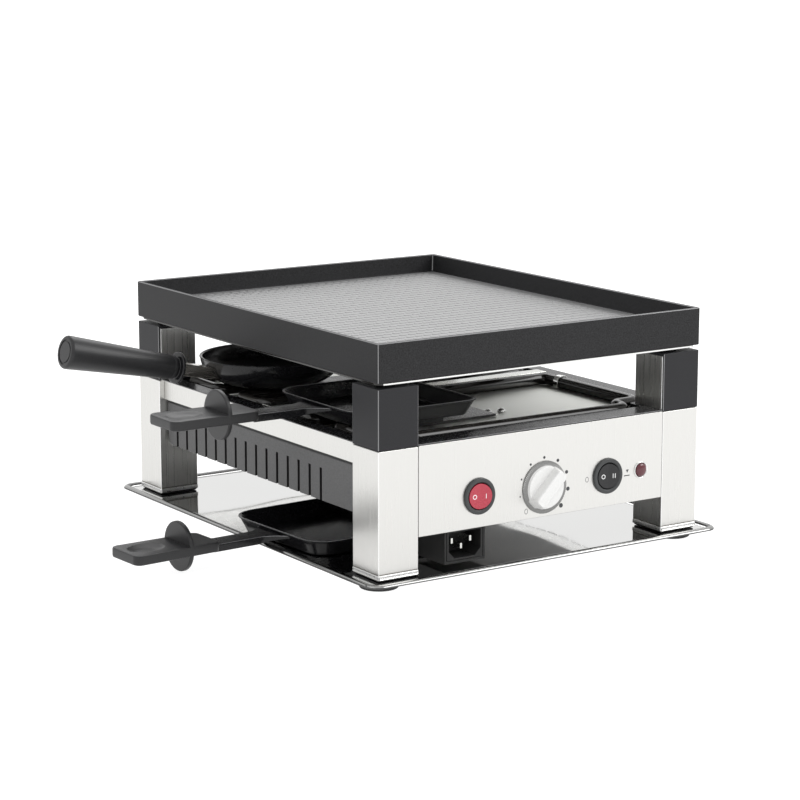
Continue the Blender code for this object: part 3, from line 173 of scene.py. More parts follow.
brushed("brushed_steel", (0.645, 0.64, 0.62), (1500, 1500, 12), (0.26, 0.34), spread=0.8)
brushed("satin_steel", (0.66, 0.665, 0.635), (24, 1300, 1300), (0.20, 0.28))
polished = finish("polished_steel", (0.73, 0.73, 0.72), metallic=1.0)
vary_roughness(polished, noise_on(polished, (30, 30, 30)), 0.03, 0.07)
add_bump(polished, noise_on(polished, (12, 12, 12), detail=0.0), 1.0 * MM)
heated = finish("element_steel", (0.012, 0.011, 0.010))
vary_roughness(heated, noise_on(heated, (400, 400, 400)), 0.05, 0.11)
pressed = brushed("pressed_grey", (0.84, 0.85, 0.81), (60, 700, 700), (0.34, 0.44))
shader_inputs(pressed)["Metallic"].default_value = 0.8
brushed("pale_sheet", (0.72, 0.72, 0.71), (90, 90, 90), (0.22, 0.34))
brushed("bare_cast", (0.86, 0.86, 0.85), (300, 300, 300), (0.28, 0.38))
# painted highlight: a light steel for the upright edges of the legs and for their lips
brushed("painted_highlight_steel", (0.80, 0.80, 0.79), (300, 300, 300), (0.25, 0.35))
# painted shadow: a dark steel for the shadow line above the fold of each leg's lip
brushed("painted_shadow_line", (0.30, 0.29, 0.27), (300, 300, 300), (0.30, 0.40))
# painted shade and painted light: a dark and a lighter copy of steel for the strips of the tray's
# rim
brushed("rim_painted_shade", (0.11, 0.11, 0.11), (60, 60, 60), (0.10, 0.18))
brushed("rim_painted_light", (0.36, 0.36, 0.355), (60, 60, 60), (0.10, 0.18))
brushed("bracket_steel", (0.56, 0.535, 0.49), (24, 1300, 1300), (0.18, 0.28))
print("steels:", ", ".join(finishes))

# %% [markdown]
# The blacks differ in gloss: the pans and the deck have a smooth, glossy coat, the cast
# plate a dry one with a fine grain, and the plastic parts a moulded matt grain. A bump of a
# few hundredths of a millimetre is enough for each grain, and the same noise makes the colour a
# little uneven. The cooking floor's coat gets a grey base colour as a painted sheen, for the
# shine it has when it is seen at a low angle, and its coat shines there too.

# %% Coatings, plastics and ceramics


def grained(name, colour, roughness, grain, depth, mottle=0.06, **more):
    """A painted or moulded surface with an even grain, a little uneven in colour."""
    made = finish(name, colour, **more)
    grain_noise = noise_on(made, (grain, grain, grain))
    vary_roughness(made, grain_noise, *roughness)
    darker, lighter = [[part * share for part in colour] for share in (1 - mottle, 1 + mottle)]
    vary_colour(made, grain_noise, darker, lighter)
    add_bump(made, grain_noise, depth, 0.5)
    return made


grained(
    "black_coating", (0.008, 0.008, 0.009), (0.14, 0.24), 700, 0.01 * MM, mottle=0.3, ior=1.38
)
grained(
    "nonstick_cast", (0.014, 0.014, 0.015), (0.40, 0.58), 1300, 0.06 * MM, mottle=0.7, ior=1.3
)
grained(
    "black_plastic", (0.011, 0.011, 0.012), (0.33, 0.45), 1800, 0.04 * MM, mottle=0.4, ior=1.45
)
grained("bezel_plastic", (0.040, 0.042, 0.043), (0.34, 0.46), 2400, 0.02 * MM, ior=1.4)
# painted sheen: the cooking floor's black coat gets a grey base colour for its shine at a low
# angle
grained(
    "painted_sheen_coat", (0.200, 0.200, 0.202), (0.42, 0.52), 1500, 0.01 * MM,
    coat=0.6, coat_roughness=0.42,
)
grained(
    "satin_black", (0.016, 0.016, 0.018), (0.44, 0.56), 1500, 0.03 * MM, mottle=0.3, ior=1.32
)
grained("deck_coat", (0.010, 0.010, 0.011), (0.20, 0.30), 700, 0.01 * MM, ior=1.28)
grained("vent_grey", (0.084, 0.084, 0.085), (0.46, 0.60), 1500, 0.05 * MM, mottle=0.3, ior=1.4)
grained(
    "socket_black", (0.016, 0.016, 0.016), (0.36, 0.5), 2000, 0.02 * MM, mottle=0.2, ior=1.35
)
grained("red_rocker", (0.37, 0.005, 0.028), (0.20, 0.34), 1400, 0.03 * MM, coat=0.6)
grained("red_lens", (0.080, 0.006, 0.013), (0.06, 0.12), 900, 0.01 * MM, coat=0.4)
grained("silver_knob", (0.66, 0.66, 0.65), (0.26, 0.36), 1600, 0.01 * MM, coat=0.2)
grained("black_rubber", (0.018, 0.018, 0.018), (0.7, 0.85), 1500, 0.04 * MM)
grained("white_ceramic", (0.72, 0.69, 0.62), (0.45, 0.6), 900, 0.03 * MM)
# painted shade: the ribbed ring of the dial is made darker than the knob
grained("knurl_painted_shade", (0.22, 0.22, 0.215), (0.3, 0.45), 900, 0.01 * MM, metallic=0.3)
# painted highlight: a lighter grey for the bevelled edges of black pieces, pan rims and folds
grained("painted_edge_highlight", (0.22, 0.22, 0.225), (0.3, 0.4), 900, 0.01 * MM, metallic=0.5)
grained("printed_mark", (0.035, 0.037, 0.040), (0.45, 0.55), 1500, 0.005 * MM)
grained("moulded_mark", (0.85, 0.85, 0.85), (0.4, 0.5), 1500, 0.005 * MM)

for node_name, node in frame["nodes"].items():
    node.material_slots[0].material = finishes[slot_of[node_name]]
print("finishes on", len(frame["nodes"]), "nodes")

# %% [markdown]
# A finished piece is one mesh whose object sits at the origin. It rides on the body that
# carries it, takes its finish from the same slot as the node it stands for, and replaces
# that node in the view. Weighted normals keep big flat faces flat beside rounded edges. The
# helpers below do all of that, and find where a piece has to stand.

# %% Helpers that place a finished mesh


def add_piece(name, bm, like, replaced=(), paint=None, more=(), sharp=32):
    """Make a bmesh an object that rides with a node and takes that node's finish."""
    mesh = bpy.data.meshes.new(name)
    bm.to_mesh(mesh)
    bm.free()
    mesh.shade_smooth()
    mesh.set_sharp_from_angle(angle=math.radians(sharp))
    made = bpy.data.objects.new(name, mesh)
    bpy.context.scene.collection.objects.link(made)
    made.modifiers.new("level_faces", "WEIGHTED_NORMAL").keep_sharp = True
    for finish_name in (paint or slot_of[like], *more):
        mesh.materials.append(finishes[finish_name])
    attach(made, body_of_node[like])
    if replaced:
        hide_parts(*replaced)
    print(name, len(mesh.polygons), "faces")
    return made


def stand_in(node_name, bm, **looks):
    """A finer piece that takes the place of a node."""
    return add_piece(node_name + "_fine", bm, node_name, [node_name], **looks)


def moved(bm, matrix):
    """The bmesh put into another frame."""
    bmesh.ops.transform(bm, matrix=matrix, verts=bm.verts)
    return bm


def shift(x, y, z):
    """Matrix that moves a piece."""
    return Matrix.Translation((x, y, z))


def middle(node_name):
    """Middle of a node's box."""
    low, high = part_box(node_name)
    return (low + high) / 2


def half_width(node_name):
    """Half the width of a node's box: the radius of a round part."""
    low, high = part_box(node_name)
    return (high.x - low.x) / 2


def over(node_name, height=0.0):
    """Matrix that carries a piece from the origin to a node's middle, at a height."""
    return shift(middle(node_name).x, middle(node_name).y, height)


# %% [markdown]
# Sheet metal and moulded parts never have razor edges. Where a node's form is already right,
# a copy of its mesh is merged, its flat faces are joined again, and its sharp edges are
# bevelled by a few tenths of a millimetre, so they catch the light. On the legs and the black
# pieces the new narrow faces take a lighter material as a painted highlight. On the legs and
# their covers only the upright edges do so.

# %% Bevel the plain sheet and moulded parts
SHARP_ANGLE = math.radians(25)
LEG_EDGE = 0.5 * MM
COVER_EDGE = 0.4 * MM
PANEL_EDGE = 0.25 * MM
MOULDED_EDGE = 0.3 * MM
SHEET_EDGE = 0.2 * MM
THIN_EDGE = 0.1 * MM


def node_copy(node_name):
    """A bmesh copy of a node, merged and with its flat faces joined again."""
    bm = bmesh.new()
    bm.from_mesh(frame["nodes"][node_name].data)
    bmesh.ops.remove_doubles(bm, verts=bm.verts, dist=0.005 * MM)
    bmesh.ops.dissolve_limit(bm, angle_limit=math.radians(1), verts=bm.verts, edges=bm.edges)
    return bm


def cut_at(bm, point, direction):
    """Cut all faces along a plane; nothing is removed."""
    parts = bm.verts[:] + bm.edges[:] + bm.faces[:]
    bmesh.ops.bisect_plane(bm, geom=parts, plane_co=point, plane_no=direction)


def is_fold(edge, angle=SHARP_ANGLE):
    """Whether two faces meet in an edge at more than an angle."""
    return len(edge.link_faces) == 2 and edge.calc_face_angle() > angle


def round_off(bm, edges, width, segments=2):
    """Bevel edges by a real width, and return the new faces."""
    return bmesh.ops.bevel(
        bm, geom=edges, offset=width, offset_type="OFFSET", affect="EDGES",
        segments=segments, profile=0.5, material=-1, clamp_overlap=True,
    )["faces"]


def refine(node_name, width, edge_paint=None, bm=None, upright=False, more=(), paint=None):
    """A copy of a node with its sharp edges rounded by a real width and painted, if asked."""
    bm = bm or node_copy(node_name)
    made = round_off(bm, [edge for edge in bm.edges if is_fold(edge)], width)
    # the new edge faces take edge_paint, a painted highlight
    for face in made if edge_paint else []:
        face.normal_update()
        if not upright or abs(face.normal.z) < 0.2:
            face.material_index = 1
    return stand_in(
        node_name, bm, paint=paint, more=[edge_paint] if edge_paint else more, sharp=50
    )


CORNERS = ("front_left", "front_right", "rear_left", "rear_right")
for corner in CORNERS:
    refine(corner + "_leg", LEG_EDGE, "painted_highlight_steel", upright=True)
    refine(corner + "_leg_cover", COVER_EDGE, "painted_edge_highlight", upright=True, paint="satin_black")
for plain in ("front_panel", "back_panel", "left_side_band", "right_side_band", "divider_strip"):
    refine(plain, PANEL_EDGE)
for socket_part in ("inlet_box", "power_inlet"):
    refine(socket_part, MOULDED_EDGE, paint="socket_black")
refine("deck_tray", SHEET_EDGE, "painted_edge_highlight", paint="deck_coat")
refine("deck_floor", THIN_EDGE, paint="pressed_grey")
for terminal_box in ("front_terminal_box", "rear_terminal_box"):
    refine(terminal_box, SHEET_EDGE, "painted_edge_highlight", paint="deck_coat")
for small in ("element_clip", "terminal_block"):
    refine(small, SHEET_EDGE)
refine("wok_bracket", SHEET_EDGE, paint="bracket_steel")
heater_frame = refine("heater_frame", SHEET_EDGE, more=["element_steel"])
for face in heater_frame.data.polygons:
    if abs(face.normal.x) > 0.5:
        face.material_index = 1

# %% [markdown]
# The two vent skirts are moulded: their slots are deep, and their walls are painted black as
# painted shade. A groove under the steel band is cut off by two planes and pushed in, and its
# face is painted black as the shadow in the joint. The cover below the housing is black in
# front, round the inlet, and pale sheet behind and to the right of it. It is seen only in the
# mirror of the tray.

# %% Vent skirts and bottom cover
JOINT_HEIGHT = 2.2 * MM
JOINT_DEPTH = 0.9 * MM
JOINT_STEP = 0.05 * MM
SLOT_SPREAD = 0.35 * MM
for side, outward in (("left", -1), ("right", 1)):
    skirt_name = side + "_vent_skirt"
    skirt_low, skirt_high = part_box(skirt_name)
    outer_x = skirt_low.x if outward < 0 else skirt_high.x
    joint_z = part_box(side + "_side_band")[0].z - JOINT_HEIGHT
    skirt = node_copy(skirt_name)
    # painted shade: the walls of the slots take the black finish
    for face in skirt.faces:
        centre = face.calc_center_median()
        if abs(face.normal.y) > 0.9 and skirt_low.y + MM < centre.y < skirt_high.y - MM:
            face.material_index = 1
            for vert in face.verts:
                vert.co.y -= math.copysign(SLOT_SPREAD, face.normal.y)
    cut_at(skirt, (0, 0, joint_z), (0, 0, 1))
    cut_at(skirt, (0, 0, joint_z + JOINT_STEP), (0, 0, 1))
    for vert in skirt.verts:
        if vert.co.z > joint_z + JOINT_STEP / 2 and abs(vert.co.x - outer_x) < 0.01 * MM:
            vert.co.x -= outward * JOINT_DEPTH
    # painted shadow: the pushed-in face of the groove takes the black finish
    for face in skirt.faces:
        above = face.calc_center_median().z > joint_z + 2 * JOINT_STEP
        if above and face.normal.x * outward > 0.5:
            face.material_index = 1
    refine(skirt_name, MOULDED_EDGE, bm=skirt, more=["socket_black"], paint="vent_grey")

BOX_END = 60 * MM
BOX_SIDE = 132 * MM
cover = node_copy("bottom_cover")
cut_at(cover, (0, BOX_END, 0), (0, 1, 0))
cut_at(cover, (BOX_SIDE, 0, 0), (1, 0, 0))
for face in cover.faces:
    centre = face.calc_center_median()
    if centre.y > BOX_END or centre.x > BOX_SIDE:
        face.material_index = 1
refine("bottom_cover", MOULDED_EDGE, bm=cover, more=["pale_sheet"])

# %% [markdown]
# Many pieces here are a rectangle with round corners that changes its size as it rises: the
# tray, the plate, the pans, the grips, the lips of the legs. A ring is one such outline, made
# from a grid of one face whose corners are bevelled. Bridging each ring to the next gives the
# skin, which is how a pressed or moulded wall runs from its foot to its rim.

# %% Helpers for lofted pieces


def ring(bm, width, depth, corner, height, segments=8):
    """Add a rectangle with round corners as a loop of edges, and return its edges."""
    made = bmesh.ops.create_grid(bm, x_segments=1, y_segments=1, size=0.5)
    bmesh.ops.scale(bm, vec=(width, depth, 1), verts=made["verts"])
    bmesh.ops.translate(bm, vec=(0, 0, height), verts=made["verts"])
    rounded = bmesh.ops.bevel(
        bm, geom=made["verts"], offset=corner, offset_type="OFFSET", affect="VERTICES",
        segments=segments, profile=0.5, material=-1,
    )
    face = rounded["verts"][0].link_faces[0]
    edges = list(face.edges)
    bmesh.ops.delete(bm, geom=[face], context="FACES_ONLY")
    return edges


APART = 10 * MM
LEAST_CORNER = 0.3 * MM


def loft(bm, rows, closed=False, strips=()):
    """Bridge rings of (width, depth, corner, height); close them to a tube or cap both ends.

    Rings at one height have no clear order, so they are bridged well apart and then lowered.
    The strips name a material number for the faces that follow a ring.
    """
    strips = dict(strips)
    rings = []
    for number, (width, depth, corner, height, *segments) in enumerate(rows):
        rings.append((ring(bm, width, depth, corner, number * APART, *segments), height))
    for number, ((lower, _), (upper, _)) in enumerate(zip(rings, rings[1:])):
        skin = bmesh.ops.bridge_loops(bm, edges=lower + upper)["faces"]
        for face in skin:
            face.material_index = strips.get(number, 0)
    if closed:
        bmesh.ops.bridge_loops(bm, edges=rings[-1][0] + rings[0][0])
    else:
        bmesh.ops.contextual_create(bm, geom=rings[0][0])
        bmesh.ops.contextual_create(bm, geom=rings[-1][0])
    for edges, height in rings:
        for vert in {vert for edge in edges for vert in edge.verts}:
            vert.co.z = height
    bmesh.ops.recalc_face_normals(bm, faces=bm.faces)
    return bm


def shrunk(width, depth, corner, rows):
    """Rows for loft from steps of (inset, height): each ring is drawn in on all sides."""
    return [
        (width - 2 * inset, depth - 2 * inset, max(corner - inset, LEAST_CORNER), height)
        for inset, height in rows
    ]


def merged(*parts):
    """One bmesh that holds all the parts; the parts are freed."""
    whole = bmesh.new()
    for part in parts:
        mesh = bpy.data.meshes.new("part")
        part.to_mesh(mesh)
        part.free()
        whole.from_mesh(mesh)
        bpy.data.meshes.remove(mesh)
    return whole


def new_verts(made):
    """The vertices among what an operator made."""
    return [item for item in made["geom"] if isinstance(item, bmesh.types.BMVert)]


# %% [markdown]
# The tray is thin polished sheet. Its edge is rolled: the sheet climbs out of the flat floor,
# turns over and comes down again. The rings run out along the top side and come back along the
# underside. The rim shows two bright lines with a dark one between, and they are painted: in
# each strip of the rim the number picks a material, 1 a dark steel for painted shade and 2 a
# lighter steel for painted light.

# %% Base tray
tray_low, tray_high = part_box("base_tray")
TRAY_SHEET = 0.6 * MM
TRAY_CORNER = 9.5 * MM
tray_top = tray_high.z
tray_floor = tray_low.z + TRAY_SHEET
tray_steps = [
    (6.2 * MM, tray_floor),
    (5.0 * MM, tray_floor + 0.15 * MM),
    (4.3 * MM, tray_top - 0.55 * MM),
    (3.5 * MM, tray_top - 0.1 * MM),
    (2.6 * MM, tray_top),
    (1.6 * MM, tray_top - 0.1 * MM),
    (0.8 * MM, tray_top - 0.5 * MM),
    (0.25 * MM, tray_top - 1.1 * MM),
    (0.0, tray_low.z + 0.75 * MM),
    (0.0, tray_low.z + 0.3 * MM),
    (0.3 * MM, tray_low.z + 0.3 * MM),
    (0.9 * MM, tray_top - 1.3 * MM),
    (2.6 * MM, tray_top - 0.6 * MM),
    (4.2 * MM, tray_top - 1.3 * MM),
    (5.2 * MM, tray_low.z),
]
tray_size = tray_high - tray_low
# strips 1 to 3 and 7 to 8 take the painted shade, 4 to 6 the painted light
tray = loft(
    bmesh.new(), shrunk(tray_size.x, tray_size.y, TRAY_CORNER, tray_steps),
    strips={1: 1, 2: 1, 3: 1, 4: 2, 5: 2, 6: 2, 7: 1, 8: 1},
)
stand_in("base_tray", moved(tray, over("base_tray")), more=["rim_painted_shade", "rim_painted_light"], sharp=50)

# %% [markdown]
# The bottom edge of each leg is folded back on itself. The fold stands a little proud; its
# strip is painted light as a painted highlight, with a painted shadow line of dark steel above
# it. The leg stands on a glide of plastic, a low block that is drawn in a little, so a dark gap
# shows between the lip and the tray.

# %% Folded lips and glides of the legs
LIP_HEIGHT = 2.8 * MM
LIP_PROUD = 0.45 * MM
LIP_INSIDE = 0.4 * MM
SHADOW_LINE_PROUD = 0.04 * MM
SHADOW_LINE_TOP = LIP_HEIGHT + 0.8 * MM
GLIDE_TOP = -0.02 * MM
for corner in CORNERS:
    width = 2 * half_width(corner + "_leg")
    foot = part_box(corner + "_leg")[0].z
    lip_steps = [
        (-LIP_PROUD + 0.2 * MM, foot),
        (-LIP_PROUD, foot + 0.3 * MM),
        (-LIP_PROUD, foot + LIP_HEIGHT - 0.4 * MM),
        (-LIP_PROUD + 0.2 * MM, foot + LIP_HEIGHT - 0.1 * MM),
        (-SHADOW_LINE_PROUD, foot + LIP_HEIGHT),
        (-SHADOW_LINE_PROUD, foot + SHADOW_LINE_TOP),
        (LIP_INSIDE, foot + SHADOW_LINE_TOP),
        (LIP_INSIDE, foot + 0.1 * MM),
    ]
    # strips 0 to 3 take the painted highlight, strip 4 the painted shadow line
    lip = loft(
        bmesh.new(), shrunk(width, width, 0.8 * MM, lip_steps), closed=True,
        strips={0: 1, 1: 1, 2: 1, 3: 1, 4: 2},
    )
    place = over(corner + "_leg")
    add_piece(
        corner + "_leg_lip", moved(lip, place), corner + "_leg",
        more=["painted_highlight_steel", "painted_shadow_line"], sharp=50,
    )
    glide_low, glide_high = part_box(corner + "_glide")
    glide = loft(bmesh.new(), shrunk(width, width, 1.2 * MM, [
        (1.0 * MM, glide_low.z),
        (0.6 * MM, glide_low.z + 0.3 * MM),
        (0.6 * MM, foot + GLIDE_TOP),
        (2.4 * MM, foot + GLIDE_TOP),
        (2.4 * MM, glide_high.z),
    ]))
    stand_in(corner + "_glide", moved(glide, place), sharp=50)

# %% [markdown]
# The griddle plate is one casting: an outer skirt, a rim a couple of millimetres wide, and a
# shallow well with slightly sloping walls. Underneath it is hollow, and its metal is bare. The
# rings climb the skirt, cross the rim and go down into the well. The corners and top edges of
# the coat are painted light as a painted highlight.

# %% Griddle plate
plate_low, plate_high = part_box("grill_plate")
plate_size = plate_high - plate_low
WALL = 2.2 * MM
COOKING_Z = plate_high.z - 13.0 * MM
EDGE = 0.45 * MM
PLATE_CORNER = 1.5 * MM
PLATE_FLOOR = 2.5 * MM
plate_steps = [
    (EDGE, plate_low.z),
    (0.0, plate_low.z + EDGE),
    (0.0, plate_high.z - EDGE),
    (EDGE, plate_high.z),
    (WALL - EDGE, plate_high.z),
    (WALL, plate_high.z - EDGE),
    (WALL + 1.0 * MM, COOKING_Z + 1.2 * MM),
    (WALL + 1.4 * MM, COOKING_Z + 0.3 * MM),
    (WALL + 2.4 * MM, COOKING_Z),
]
plate = loft(bmesh.new(), [
    (plate_size.x - 2 * inset, plate_size.y - 2 * inset, PLATE_CORNER, height)
    for inset, height in plate_steps
])
below = [face for face in plate.faces if face.calc_center_median().z < plate_low.z + 0.01 * MM]
bmesh.ops.inset_region(plate, faces=below, thickness=WALL, depth=0)
bmesh.ops.translate(
    plate, vec=(0, 0, COOKING_Z - PLATE_FLOOR - plate_low.z),
    verts=list({vert for face in below for vert in face.verts}),
)
# material 1 is a painted highlight on the corners and the top edge, 2 the coat with the painted
# sheen on the cooking floor, 3 the bare metal underneath
for face in plate.faces:
    centre = face.calc_center_median()
    on_corner = min(abs(face.normal.x), abs(face.normal.y)) > 0.6
    if on_corner or plate_high.z - 0.98 * EDGE < centre.z < plate_high.z - 0.02 * EDGE:
        face.material_index = 1
    if face.normal.z > 0.9 and abs(centre.z - COOKING_Z) < 0.4 * MM:
        face.material_index = 2
    outside = max(abs(centre.x) - plate_size.x / 2, abs(centre.y) - plate_size.y / 2)
    if centre.z < COOKING_Z - MM and outside < -MM:
        face.material_index = 3
plate_place = over("grill_plate")
stand_in(
    "grill_plate", moved(plate, plate_place), more=["painted_edge_highlight", "painted_sheen_coat", "bare_cast"]
)

# %% [markdown]
# The well's floor is covered with short raised dashes in straight rows, which brown the food
# and let fat run between them. One dash is a small block whose top is drawn in. It is copied
# along a row, and the row is copied across the plate.

# %% Dashes on the cooking floor
DASH_LENGTH = 5.7 * MM
DASH_WIDTH = 3.4 * MM
DASH_HEIGHT = 0.4 * MM
PITCH_X = 6.6 * MM
PITCH_Y = 8.0 * MM
DASH_MARGIN = 5.0 * MM


def repeat(bm, count, step):
    """Copy everything in a bmesh along a vector, centred on where it began."""
    first = list(bm.verts) + list(bm.edges) + list(bm.faces)
    for number in range(1, count):
        made = bmesh.ops.duplicate(bm, geom=first)
        bmesh.ops.translate(bm, vec=Vector(step) * number, verts=new_verts(made))
    bmesh.ops.translate(bm, vec=Vector(step) * (1 - count) / 2, verts=bm.verts)


dashes = bmesh.new()
loft(dashes, [
    (DASH_LENGTH, DASH_WIDTH, 1.2 * MM, 0, 2),
    (DASH_LENGTH - 0.3 * MM, DASH_WIDTH - 0.4 * MM, 1.1 * MM, DASH_HEIGHT * 0.6, 2),
    (DASH_LENGTH - 0.9 * MM, DASH_WIDTH - 1.0 * MM, 0.9 * MM, DASH_HEIGHT, 2),
])
room = plate_size - Vector((2, 2, 0)) * (WALL + DASH_MARGIN)
repeat(dashes, int((room.x - DASH_LENGTH) / PITCH_X) + 1, (PITCH_X, 0, 0))
repeat(dashes, int((room.y - DASH_WIDTH) / PITCH_Y) + 1, (0, PITCH_Y, 0))
moved(dashes, plate_place @ shift(0, 0, COOKING_Z))
# the dashes take the coat with the painted sheen
add_piece("plate_dashes", dashes, "grill_plate", paint="painted_sheen_coat", sharp=60)

# %% [markdown]
# Round parts are turned. A profile of radius and height is drawn on one side of the axis and
# spun through a full turn, and the doubled points on the axis are merged. This gives the
# feet, the knob, the bezels, the lamp, the wok and its handle. The feet come first: the front
# ones have a wide flange, of which a dark crescent shows under the edge of the tray.

# %% Helpers for turned pieces, and the rubber feet


def turned(profile, steps=64):
    """Spin a profile of (radius, height) round Z."""
    bm = bmesh.new()
    points = [bm.verts.new((radius, 0, height)) for radius, height in profile]
    lines = [bm.edges.new(pair) for pair in zip(points, points[1:])]
    bmesh.ops.spin(
        bm, geom=points + lines, cent=(0, 0, 0), axis=(0, 0, 1), angle=math.tau,
        steps=steps, use_merge=True,
    )
    bmesh.ops.remove_doubles(bm, verts=bm.verts, dist=0.002 * MM)
    bmesh.ops.recalc_face_normals(bm, faces=bm.faces)
    return bm


def arc(radius, height, bend, start, stop, count=5):
    """Points of a round corner in a profile, from one angle in degrees to another."""
    angles = [math.radians(start + (stop - start) * step / count) for step in range(count + 1)]
    return [(radius + bend * math.cos(angle), height + bend * math.sin(angle)) for angle in angles]


def dome(radius, height, rise, angles):
    """Points of a flattened dome in a profile, at angles in radians."""
    return [(radius * math.cos(angle), height + rise * math.sin(angle)) for angle in angles]


FOOT_FLANGE = 3.4 * MM
for corner in CORNERS:
    foot_name = corner + "_rubber_foot"
    foot_low, foot_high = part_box(foot_name)
    radius = half_width(foot_name) + (FOOT_FLANGE if "front" in corner else 0)
    height = foot_high.z - foot_low.z
    foot = turned(
        [(0, 0), (radius * 0.55, 0), (radius * 0.6, 0.3 * MM)]
        + [(radius * 0.7, 0.3 * MM), (radius * 0.75, 0)]
        + arc(radius - 1.2 * MM, 1.2 * MM, 1.2 * MM, -90, 0)
        + arc(radius - 0.5 * MM, height - 0.5 * MM, 0.5 * MM, 0, 90)
        + [(0, height)]
    )
    stand_in(foot_name, moved(foot, over(foot_name, foot_low.z)))

# %% [markdown]
# Controls sit on the front panel. It is easiest to model each one facing up, with Z along its
# axis, and to turn it to the front at the end. The dial's skirt is a low cone with ninety fine
# ribs: every second line of it is lowered. Its face is smooth, and a tapered grip bar with
# rounded edges crosses it. The ribbed ring takes a darker finish, a painted shade for the dark
# that the ribs show.

# %% Thermostat knob
face_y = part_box("front_panel")[0].y
knob_low, knob_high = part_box("thermostat_knob")
KNOB_RADIUS = half_width("thermostat_knob")
KNOB_TOP = knob_high.y - knob_low.y + 0.3 * MM
RIBS = 90
RIB_DEPTH = 0.4 * MM
GRIP_TURN = math.radians(45)


def on_panel(x, z):
    """Matrix that stands a piece on the front panel at x, z, facing the viewer."""
    return shift(x, face_y, z) @ Matrix.Rotation(math.pi / 2, 4, "X")


def facing(node_name):
    """Matrix that stands a piece on the front panel where a node is."""
    return on_panel(middle(node_name).x, middle(node_name).z)


skirt = turned(
    [(0, 1.0 * MM), (KNOB_RADIUS - 1.5 * MM, 1.0 * MM), (KNOB_RADIUS - 1.5 * MM, 0.3 * MM)]
    + [(KNOB_RADIUS, 0.3 * MM), (KNOB_RADIUS, 0.9 * MM), (14.5 * MM, 1.5 * MM)]
    + [(14.1 * MM, 1.6 * MM), (13.7 * MM, 2.3 * MM)]
    + arc(13.0 * MM, 2.3 * MM, 0.7 * MM, 0, 90) + [(0, 3.0 * MM)], steps=2 * RIBS,
)
for vert in skirt.verts:
    number = round(math.atan2(vert.co.y, vert.co.x) / math.tau * 2 * RIBS)
    on_slope = 0.8 * MM < vert.co.z < 1.55 * MM and vert.co.xy.length > 14.3 * MM
    if number % 2 and on_slope:
        vert.co.z -= RIB_DEPTH
# the ribbed ring takes the darker finish, a painted shade
for face in skirt.faces:
    centre = face.calc_center_median()
    if centre.xy.length > 14.0 * MM and centre.z > 0.32 * MM:
        face.material_index = 1
grip = loft(bmesh.new(), [
    (29.6 * MM, 10.8 * MM, 3.6 * MM, 0.9 * MM),
    (28.4 * MM, 9.8 * MM, 3.3 * MM, 4.2 * MM),
    (27.0 * MM, 8.7 * MM, 2.9 * MM, KNOB_TOP - 1.4 * MM),
    (26.5 * MM, 8.2 * MM, 2.7 * MM, KNOB_TOP - 0.5 * MM),
    (25.4 * MM, 7.2 * MM, 2.4 * MM, KNOB_TOP),
])
grip_top = max(grip.faces, key=lambda face: face.calc_center_median().z)
for thickness, depth in ((1.4 * MM, 0), (0.6 * MM, -0.3 * MM)):
    bmesh.ops.inset_individual(
        grip, faces=[grip_top], thickness=thickness, depth=depth, use_even_offset=True
    )
moved(grip, Matrix.Rotation(GRIP_TURN, 4, "Z"))
knob = moved(merged(skirt, grip), facing("thermostat_knob"))
stand_in("thermostat_knob", knob, more=["knurl_painted_shade"], sharp=40)

# %% [markdown]
# Each switch is a bezel with a rounded flange and a rocker inside it. The rocker's face is a
# shallow V: its height falls in a straight line from both edges to the middle, so pressing
# one side lifts the other. It is modelled flat and then tilted by the switch's rest angle.

# %% Rocker switches
ROCKER_TILT = math.radians(7)
ROCKER_DISH = 0.8 * MM
ROCKER_RADIUS = 8.1 * MM
ROCKER_HEIGHT = 3.0 * MM
ROCKER_SUNK = 2.5 * MM
ROCKER_PIVOT = 1.8 * MM
POCKET = 8.45 * MM
CLIPPED_PART = 10.0 * MM
rocker_places = {}
for switch in ("main", "lower_heat"):
    bezel_name = switch + "_switch_bezel"
    bezel_low, bezel_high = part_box(bezel_name)
    radius = half_width(bezel_name)
    flange = face_y - bezel_low.y
    depth = bezel_high.y - face_y
    bezel = turned(
        [(POCKET, -depth), (POCKET, flange - 1.1 * MM), (POCKET + 0.5 * MM, flange - 0.4 * MM)]
        + [(POCKET + 1.0 * MM, flange)]
        + arc(radius - 0.9 * MM, flange - 0.9 * MM, 0.9 * MM, 80, 0)
        + [(radius, 0.3 * MM), (CLIPPED_PART, 0.3 * MM), (CLIPPED_PART, -depth), (POCKET, -depth)],
        steps=96,
    )
    stand_in(bezel_name, moved(bezel, facing(bezel_name)), sharp=45)

    rocker = bmesh.new()
    bmesh.ops.create_circle(rocker, cap_ends=True, segments=80, radius=ROCKER_RADIUS)
    cut_at(rocker, (0, 0, 0), (1, 0, 0))
    top = new_verts(bmesh.ops.extrude_face_region(rocker, geom=list(rocker.faces)))
    bmesh.ops.translate(rocker, vec=(0, 0, ROCKER_HEIGHT), verts=top)
    for vert in top:
        vert.co.z -= ROCKER_DISH * (1 - abs(vert.co.x) / ROCKER_RADIUS)
    bmesh.ops.recalc_face_normals(rocker, faces=rocker.faces)
    round_off(rocker, [
        edge for edge in rocker.edges
        if all(vert in top for vert in edge.verts) and is_fold(edge, 1)
        and abs(edge.verts[0].co.xy.length - ROCKER_RADIUS) < 0.01 * MM
    ], MOULDED_EDGE)
    pivot = shift(0, 0, flange - ROCKER_SUNK + ROCKER_PIVOT)
    rocker_places[switch] = (
        facing(bezel_name) @ pivot @ Matrix.Rotation(-ROCKER_TILT, 4, "Y")
        @ shift(0, 0, -ROCKER_PIVOT)
    )
    stand_in(switch + "_rocker", moved(rocker, rocker_places[switch]), sharp=45)

